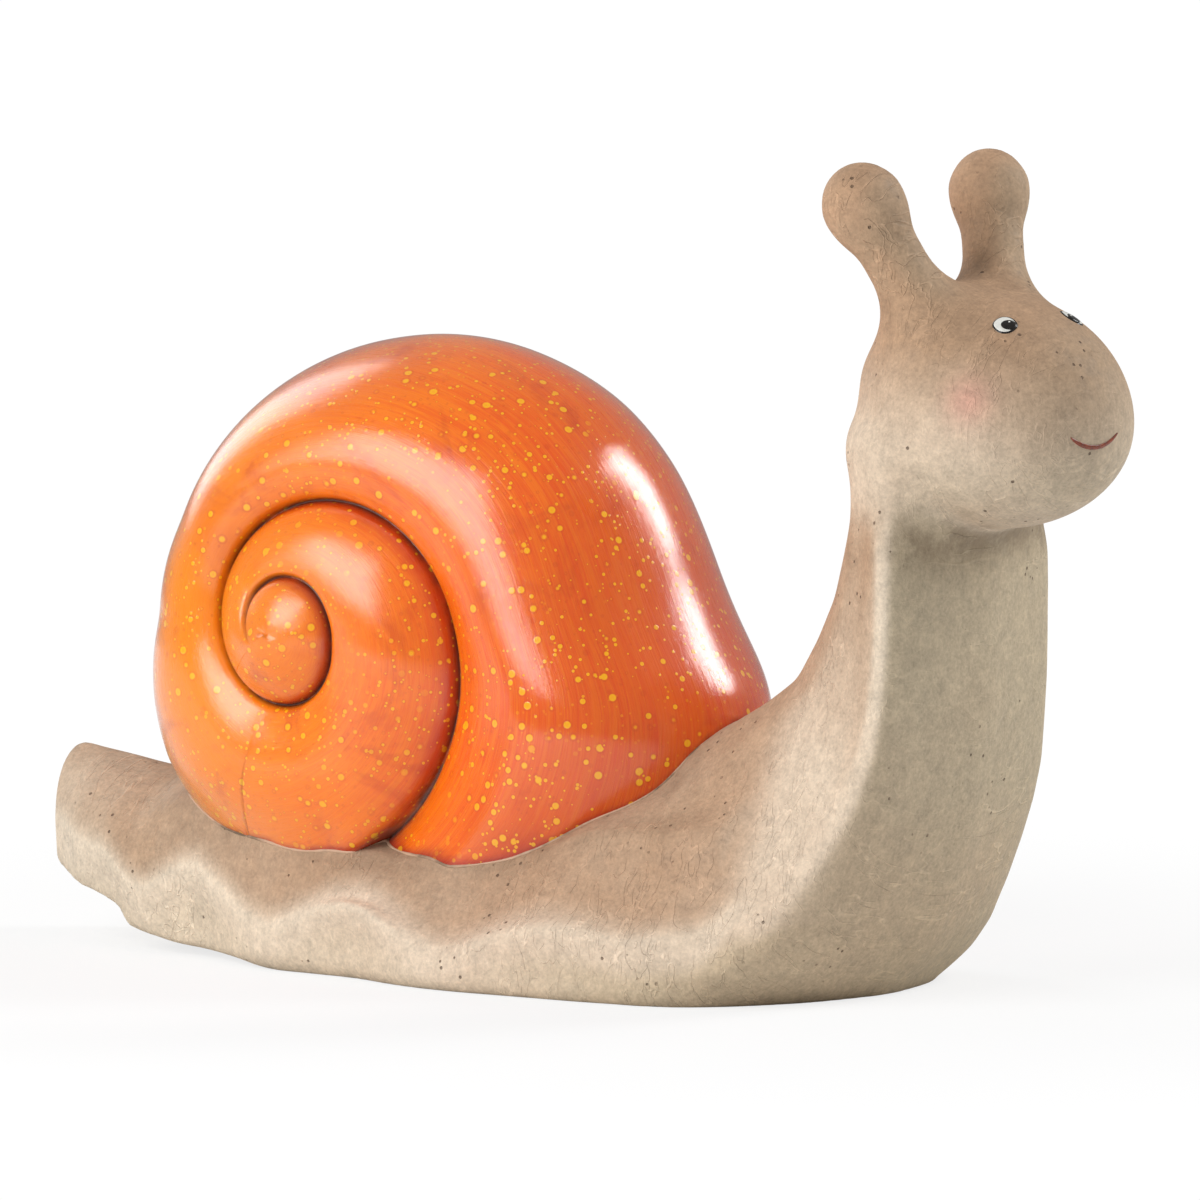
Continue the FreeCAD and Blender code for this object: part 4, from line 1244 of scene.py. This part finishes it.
class SNAIL_OT_shell(bpy.types.Operator):
    """Models the glazed spiral shell, its mesh running along the whorls"""
    bl_idname = "snail.shell"
    bl_label = "Shell"

    def execute(self, context):
        settings = context.scene.snail_shell
        columns = settings.columns
        points, faces, uvs, deep, line = shell_half(columns)
        mesh = bpy.data.meshes.new("snail_shell")
        build = bmesh.new()
        whorl = build.loops.layers.uv.new("whorl")
        deep_layer = build.verts.layers.float.new("deep")
        line_layer = build.verts.layers.float.new("line")
        height = points[:, 2] - trim_level(points[:, 0])
        for mirror in (1, -1):
            made = {}
            for face, corners in zip(faces, uvs):
                if len(set(face)) < len(face) or max(height[i] for i in face) < 0:
                    continue
                for index in face:
                    if index not in made:
                        x, y, z = points[index]
                        vertex = build.verts.new((x * MM, y * mirror * MM, z * MM))
                        vertex[deep_layer] = deep[index]
                        vertex[line_layer] = line[index]
                        made[index] = vertex
                order = range(len(face)) if mirror < 0 else range(len(face) - 1, -1, -1)
                new = build.faces.new([made[face[i]] for i in order])
                new.smooth = True
                for loop, i in zip(new.loops, order):
                    loop[whorl].uv = corners[i]
        bmesh.ops.remove_doubles(build, verts=build.verts, dist=0.00002)
        self.trim(build)
        rim = [edge for edge in build.edges if edge.is_boundary]
        bmesh.ops.holes_fill(build, edges=rim, sides=0)
        bmesh.ops.recalc_face_normals(build, faces=build.faces)
        # more painted shade near the body, where the shell sits in it, and a thin painted shade line
        # at the seat
        above = Skin.get().depth([vertex.co / MM for vertex in build.verts])
        for vertex, gap in zip(build.verts, np.maximum(above, 0)):
            vertex[deep_layer] = min(1, vertex[deep_layer] + 0.9 * math.exp(-gap / 2.2))
            vertex[line_layer] = min(1, vertex[line_layer] + 0.35 * math.exp(-(gap / 0.9) ** 2))
        build.to_mesh(mesh)
        build.free()
        shell = bpy.data.objects.new("snail_shell", mesh)
        context.scene.collection.objects.link(shell)
        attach(shell, "root")
        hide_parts("shell_casting")
        give(shell, glaze_finish(settings))
        if len(mesh.polygons) < 1000:
            raise RuntimeError("the shell came out empty")
        return {"FINISHED"}

    @staticmethod
    def trim(build):
        """Draws the lowest points up to an even edge, which is bedded in the body."""
        def over_edge(vertex):
            return vertex.co.z / MM - float(trim_level(vertex.co.x / MM))

        for vertex in build.verts:
            below = -over_edge(vertex)
            if below <= 0:
                continue
            best = None
            for edge in vertex.link_edges:
                other = edge.other_vert(vertex)
                above = over_edge(other)
                if above > 0:
                    share = below / (below + above)
                    if best is None or share < best[0]:
                        best = (share, vertex.co.lerp(other.co, share))
            if best:
                vertex.co = best[1]


class SNAIL_OT_seam(bpy.types.Operator):
    """Lays the thin bead of slip along the seat of the shell"""
    bl_idname = "snail.seam"
    bl_label = "Seam Bead"

    def execute(self, context):
        skin = Skin.get()
        mesh = bpy.data.objects["snail_shell"].data
        points = np.zeros(3 * len(mesh.vertices))
        mesh.vertices.foreach_get("co", points)
        points = points.reshape(-1, 3) / MM
        pairs = np.zeros(2 * len(mesh.edges), dtype=np.int32)
        mesh.edges.foreach_get("vertices", pairs)
        pairs = pairs.reshape(-1, 2)
        depth = skin.depth(points)
        crossing = depth[pairs[:, 0]] * depth[pairs[:, 1]] < 0
        ends = pairs[crossing]
        share = depth[ends[:, 0]] / (depth[ends[:, 0]] - depth[ends[:, 1]])
        line = points[ends[:, 0]] * (1 - share[:, None]) + points[ends[:, 1]] * share[:, None]
        line = line[line[:, 2] > trim_level(line[:, 0]) + 1.5]
        middle = np.array((-45.0, 0.0))
        turn = np.arctan2(line[:, 1] - middle[1], line[:, 0] - middle[0])
        count = 420               # points along the bead
        bins = ((turn + np.pi) / (2 * np.pi) * count).astype(int) % count
        ring = []
        for index in range(count):
            held = line[bins == index]
            if len(held):
                ring.append(np.median(held, axis=0))
        ring = np.array(ring)
        for _ in range(3):
            ring = (np.roll(ring, 1, axis=0) + 2 * ring + np.roll(ring, -1, axis=0)) / 4
        sides = 8
        ahead = np.roll(ring, -1, axis=0) - np.roll(ring, 1, axis=0)
        ahead /= np.linalg.norm(ahead, axis=1, keepdims=True)
        up = skin.normal(ring)
        across = np.cross(ahead, up)
        rough = np.random.default_rng(7).normal(0, 1, len(ring))
        for _ in range(3):
            rough = (np.roll(rough, 1) + 2 * rough + np.roll(rough, -1)) / 4
        thick = 0.55 + 0.22 * rough
        vertices, faces = [], []
        total = len(ring)
        for index in range(total):
            for side in range(sides):
                angle = 2 * math.pi * side / sides
                spoke = up[index] * math.cos(angle) * 0.8 + across[index] * math.sin(angle)
                vertices.append(ring[index] + spoke * thick[index])
        for index in range(total):
            after = (index + 1) % total
            for side in range(sides):
                near = (side + 1) % sides
                faces.append([index * sides + side, after * sides + side,
                              after * sides + near, index * sides + near])
        bead = new_piece("snail_seam", vertices, faces, "shell_seam")
        give(bead, seam_finish(context.scene.snail_shell, context.scene.snail_body.umber))
        return {"FINISHED"}


# ---------------------------------------------------------------- eyes and mouth

def eye_place(skin, way):
    """Point of the skin under an eye and its level, rising and outward directions."""
    forward, aside = EYE_SPOT[way]
    start = head_spot(forward, way * aside, 222.0)
    point = skin.drop_on([tuple(start)])[0]
    normal = Vector(skin.normal([point])[0])
    level = Vector((0, 0, 1)).cross(normal).normalized() * -way
    rise = normal.cross(level) * (1 if way < 0 else -1)
    if rise.z < 0:
        rise.negate()
    return Vector(point), level, rise, normal


def oval_patch(skin, centre, level, rise, normal, length, opening, lift, dome, pinch=0.0):
    """A low domed oval of enamel that follows the skin."""
    rings, sides = 6, 40
    flat = [(0.0, 0.0, 0.0)]
    for ring in range(1, rings + 1):
        for side in range(sides):
            turn = 2 * math.pi * side / sides
            reach = ring / rings
            a = math.cos(turn) * reach * length / 2
            b = math.sin(turn) * reach * opening / 2
            b *= 1 - pinch * abs(math.cos(turn)) ** 3
            flat.append((a, b, reach))
    spots = np.array([tuple(centre + level * a + rise * b) for a, b, _ in flat])
    spots = skin.drop_on(spots)
    outward = skin.normal(spots)
    reach = np.array(flat)[:, 2]
    height = lift + dome * (1 - reach ** 2) - 0.35 * (reach > 0.99)
    vertices = spots + outward * height[:, None]
    faces = [[0, 1 + side, 1 + (side + 1) % sides] for side in range(sides)]
    for ring in range(1, rings):
        base, after = 1 + (ring - 1) * sides, 1 + ring * sides
        for side in range(sides):
            near = (side + 1) % sides
            faces.append([base + side, after + side, after + near, base + near])
    # back of the patch, sunk in the skin
    under = len(vertices)
    rim = list(range(1 + (rings - 1) * sides, 1 + rings * sides))
    middle = np.array(centre) - np.array(normal) * 0.6
    vertices = np.vstack([vertices, vertices[rim] - outward[rim] * 0.5, [middle]])
    for side in range(sides):
        near = (side + 1) % sides
        faces.append([rim[side], under + side, under + near, rim[near]])
        faces.append([under + side, under + sides, under + near])
    return vertices, faces


class SNAIL_OT_eyes(bpy.types.Operator):
    """Paints the eyes: black outline, white, and a pupil with its glint"""
    bl_idname = "snail.eyes"
    bl_label = "Eyes"

    def execute(self, context):
        skin = Skin.get()
        settings = context.scene.snail_face
        black = enamel_finish("black_enamel", paint(18, 15, 13), paint(34, 28, 24))
        white = enamel_finish("white_enamel", paint(236, 236, 230), paint(222, 220, 212))
        length, opening = settings.eye_length / MM, settings.eye_opening / MM
        pupil = settings.pupil / MM
        for side, way in (("right", -1), ("left", 1)):
            centre, level, rise, normal = eye_place(skin, way)
            layers = (            # name, shift, length and height, lift, dome and pinch, paint, slot
                ("outline", (0.0, 0.0), (length, opening), (0.16, 0.22, 0.22), black, "eye_black"),
                ("white", (-0.1, 0.0), (length - 1.1, opening - 1.2), (0.34, 0.26, 0.2),
                 white, "eye_white"),
                ("pupil", (1.1, -0.55), (pupil, pupil * 0.93), (0.50, 0.30, 0.0),
                 black, "eye_black"),
            )
            for part, (ahead, up), size, relief, material, slot in layers:
                middle = centre + level * ahead + rise * up
                vertices, faces = oval_patch(skin, middle, level, rise, normal, *size, *relief)
                name = "snail_eye_%s_%s" % (part, side)
                piece = new_piece(name, vertices, faces, "eye_%s_%s" % (part, side))
                fix_normals(piece.data)
                give(piece, material)
            # painted highlight: a small white dot on the pupil for its glint
            middle = centre + level * 1.35 + rise * 0.55
            vertices, faces = oval_patch(skin, middle, level, rise, normal, 0.8, 0.7, 0.78, 0.12)
            glint = new_piece("snail_eye_glint_" + side, vertices, faces)
            fix_normals(glint.data)
            give(glint, white)
        return {"FINISHED"}


class SNAIL_OT_mouth(bpy.types.Operator):
    """Draws the smile as a red-brown line with tapered ends"""
    bl_idname = "snail.mouth"
    bl_label = "Mouth"

    def execute(self, context):
        skin = Skin.get()
        turn = Matrix.Rotation(math.radians(HEAD_TURN), 3, "Z")
        ahead = turn @ Vector((1, 0, 0))
        aside = turn @ Vector((0, 1, 0))
        steps = 61
        spots = []
        for step in range(steps):
            share = 2 * step / (steps - 1) - 1
            angle = math.radians(MOUTH_HALF_ANGLE) * share
            level = MOUTH_LEVEL + MOUTH_RADIUS * (1 - math.cos(angle))
            spot = Vector((HEAD_PLACE[0], 0, level)) + ahead * 42
            spot += aside * (MOUTH_ASIDE + MOUTH_RADIUS * math.sin(angle))
            spots.append(tuple(spot))
        line = skin.drop_on(spots, rounds=12)
        outward = skin.normal(line)
        along = np.gradient(line, axis=0)
        along /= np.linalg.norm(along, axis=1, keepdims=True)
        across = np.cross(outward, along)
        sides = 10
        vertices, faces = [], []
        tall, proud = 0.30, 0.08
        for step in range(steps):
            share = abs(2 * step / (steps - 1) - 1)
            wide = 0.72 * (1 - share ** 3.5) ** 0.6 + 0.06
            for side in range(sides):
                angle = 2 * math.pi * side / sides
                spoke = across[step] * math.cos(angle) * wide
                spoke = spoke + outward[step] * math.sin(angle) * tall
                vertices.append(line[step] + spoke + outward[step] * proud)
        for step in range(steps - 1):
            for side in range(sides):
                near = (side + 1) % sides
                base, after = step * sides, (step + 1) * sides
                faces.append([base + side, base + near, after + near, after + side])
        faces.append(list(range(sides)))
        faces.append(list(range((steps - 1) * sides, steps * sides))[::-1])
        mouth = new_piece("snail_mouth", vertices, faces, "mouth_line")
        fix_normals(mouth.data)
        lip = context.scene.snail_face.lip
        give(mouth, enamel_finish("lip_paint", tuple(lip), paint(112, 52, 38)))
        return {"FINISHED"}


# ---------------------------------------------------------------- stage

def soft_lamp(name, place, target, wide, tall, power):
    """A rectangular soft lamp aimed at a target, in metres and watts."""
    lamp = bpy.data.lights.new(name, "AREA")
    lamp.shape = "RECTANGLE"
    lamp.size = wide
    lamp.size_y = tall
    lamp.energy = power
    held = bpy.data.objects.new(name, lamp)
    held.location = place
    aim = Vector(target) - Vector(place)
    held.rotation_euler = aim.to_track_quat("-Z", "Y").to_euler()
    bpy.context.scene.collection.objects.link(held)


def white_backdrop(world, strength):
    """Even room light, seen as plain white by the camera."""
    world.use_nodes = True
    tree = world.node_tree
    tree.nodes.clear()
    path = tree.nodes.new("ShaderNodeLightPath")
    level = tree.nodes.new("ShaderNodeMapRange")
    level.inputs["To Min"].default_value = strength
    level.inputs["To Max"].default_value = 1.0
    tree.links.new(path.outputs["Is Camera Ray"], level.inputs["Value"])
    light = tree.nodes.new("ShaderNodeBackground")
    light.inputs["Color"].default_value = (1, 1, 1, 1)
    tree.links.new(level.outputs["Result"], light.inputs["Strength"])
    output = tree.nodes.new("ShaderNodeOutputWorld")
    tree.links.new(light.outputs[0], output.inputs["Surface"])


def floor_finish():
    """Pale floor that fades to white for the camera and keeps a soft shadow."""
    material = bpy.data.materials.new("pale_floor")
    material.use_nodes = True
    tree = material.node_tree
    tree.nodes.clear()
    path = tree.nodes.new("ShaderNodeLightPath")
    place = tree.nodes.new("ShaderNodeTexCoord")
    away = tree.nodes.new("ShaderNodeVectorMath")
    away.operation = "LENGTH"
    tree.links.new(place.outputs["Object"], away.inputs[0])
    fading = tree.nodes.new("ShaderNodeMapRange")
    fading.interpolation_type = "SMOOTHSTEP"
    tree.links.new(away.outputs["Value"], fading.inputs["Value"])
    for socket, value in (("From Min", 0.18), ("From Max", 0.6), ("To Min", 0.76)):
        fading.inputs[socket].default_value = value
    share = tree.nodes.new("ShaderNodeMath")
    share.operation = "MULTIPLY"
    tree.links.new(path.outputs["Is Camera Ray"], share.inputs[0])
    tree.links.new(fading.outputs["Result"], share.inputs[1])
    matt = tree.nodes.new("ShaderNodeBsdfDiffuse")
    matt.inputs["Color"].default_value = (0.86, 0.86, 0.86, 1)
    glow = tree.nodes.new("ShaderNodeEmission")
    glow.inputs["Strength"].default_value = 1.02
    both = tree.nodes.new("ShaderNodeMixShader")
    tree.links.new(share.outputs[0], both.inputs[0])
    tree.links.new(matt.outputs[0], both.inputs[1])
    tree.links.new(glow.outputs[0], both.inputs[2])
    output = tree.nodes.new("ShaderNodeOutputMaterial")
    tree.links.new(both.outputs[0], output.inputs["Surface"])
    return material


class SNAIL_OT_stage(bpy.types.Operator):
    """Sets up the camera, the soft lamps and the pale floor"""
    bl_idname = "snail.stage"
    bl_label = "Stage"

    def execute(self, context):
        scene = context.scene
        settings = scene.snail_stage
        azimuth = math.radians(CAMERA_AZIMUTH)
        elevation = math.radians(CAMERA_ELEVATION)
        back = Vector((
            math.sin(azimuth) * math.cos(elevation),
            -math.cos(azimuth) * math.cos(elevation),
            math.sin(elevation),
        ))
        lens = bpy.data.cameras.new("camera")
        lens.lens = lens.sensor_width * CAMERA_DISTANCE / FRAME_WIDTH
        lens.clip_end = 100
        camera = bpy.data.objects.new("camera", lens)
        camera.location = Vector(CAMERA_TARGET) + back * CAMERA_DISTANCE
        camera.rotation_euler = (-back).to_track_quat("-Z", "Y").to_euler()
        scene.collection.objects.link(camera)
        scene.camera = camera
        soft_lamp("key", (-0.25, -1.22, 0.76), (0, 0, 0.1), 1.1, 1.0, settings.key_power)
        soft_lamp("rim", (-1.20, 0.40, 0.75), (0, 0, 0.12), 0.7, 1.0, settings.rim_power)
        soft_lamp("strip", (0.70, 0.84, 0.90), (0, 0, 0.12), 0.34, 0.62, settings.strip_power)
        scene.world = scene.world or bpy.data.worlds.new("room")
        white_backdrop(scene.world, settings.room_light)
        mesh = bpy.data.meshes.new("floor")
        corners = [
            (x * FLOOR_REACH, y * FLOOR_REACH, 0) for x, y in ((-1, -1), (1, -1), (1, 1), (-1, 1))]
        mesh.from_pydata(corners, [], [(0, 1, 2, 3)])
        floor = bpy.data.objects.new("floor", mesh)
        scene.collection.objects.link(floor)
        give(floor, floor_finish())
        scene.view_settings.view_transform = "Standard"
        return {"FINISHED"}


class SNAIL_PT_panel(bpy.types.Panel):
    """Runs each step and shows its settings"""
    bl_idname = "SNAIL_PT_panel"
    bl_label = "Snail Ornament"
    bl_space_type = "VIEW_3D"
    bl_region_type = "UI"
    bl_category = "Snail"

    def draw(self, context):
        layout = self.layout
        for operator in OPERATORS:
            layout.operator(operator.bl_idname)
        for group in (context.scene.snail_body, context.scene.snail_shell,
                      context.scene.snail_face, context.scene.snail_stage):
            box = layout.box()
            for name in group.bl_rna.properties.keys():
                if name not in ("rna_type", "name"):
                    box.prop(group, name)


OPERATORS = (
    SNAIL_OT_body, SNAIL_OT_stalks, SNAIL_OT_slab, SNAIL_OT_shell, SNAIL_OT_seam,
    SNAIL_OT_eyes, SNAIL_OT_mouth, SNAIL_OT_stage,
)
SETTINGS = (SnailBodySettings, SnailShellSettings, SnailFaceSettings, SnailStageSettings)


def register():
    """Adds the classes and their settings to Blender."""
    for cls in (*SETTINGS, *OPERATORS, SNAIL_PT_panel):
        bpy.utils.register_class(cls)
    bpy.types.Scene.snail_body = PointerProperty(type=SnailBodySettings)
    bpy.types.Scene.snail_shell = PointerProperty(type=SnailShellSettings)
    bpy.types.Scene.snail_face = PointerProperty(type=SnailFaceSettings)
    bpy.types.Scene.snail_stage = PointerProperty(type=SnailStageSettings)


def unregister():
    """Takes the settings and the classes out again."""
    del bpy.types.Scene.snail_stage
    del bpy.types.Scene.snail_face
    del bpy.types.Scene.snail_shell
    del bpy.types.Scene.snail_body
    for cls in reversed((*SETTINGS, *OPERATORS, SNAIL_PT_panel)):
        bpy.utils.unregister_class(cls)


def main():
    """Builds the whole ornament and its stage."""
    register()
    bpy.ops.snail.body()
    bpy.ops.snail.stalks()
    bpy.ops.snail.slab()
    bpy.ops.snail.shell()
    bpy.ops.snail.seam()
    bpy.ops.snail.eyes()
    bpy.ops.snail.mouth()
    bpy.ops.snail.stage()


if __name__ == "__main__":
    main()
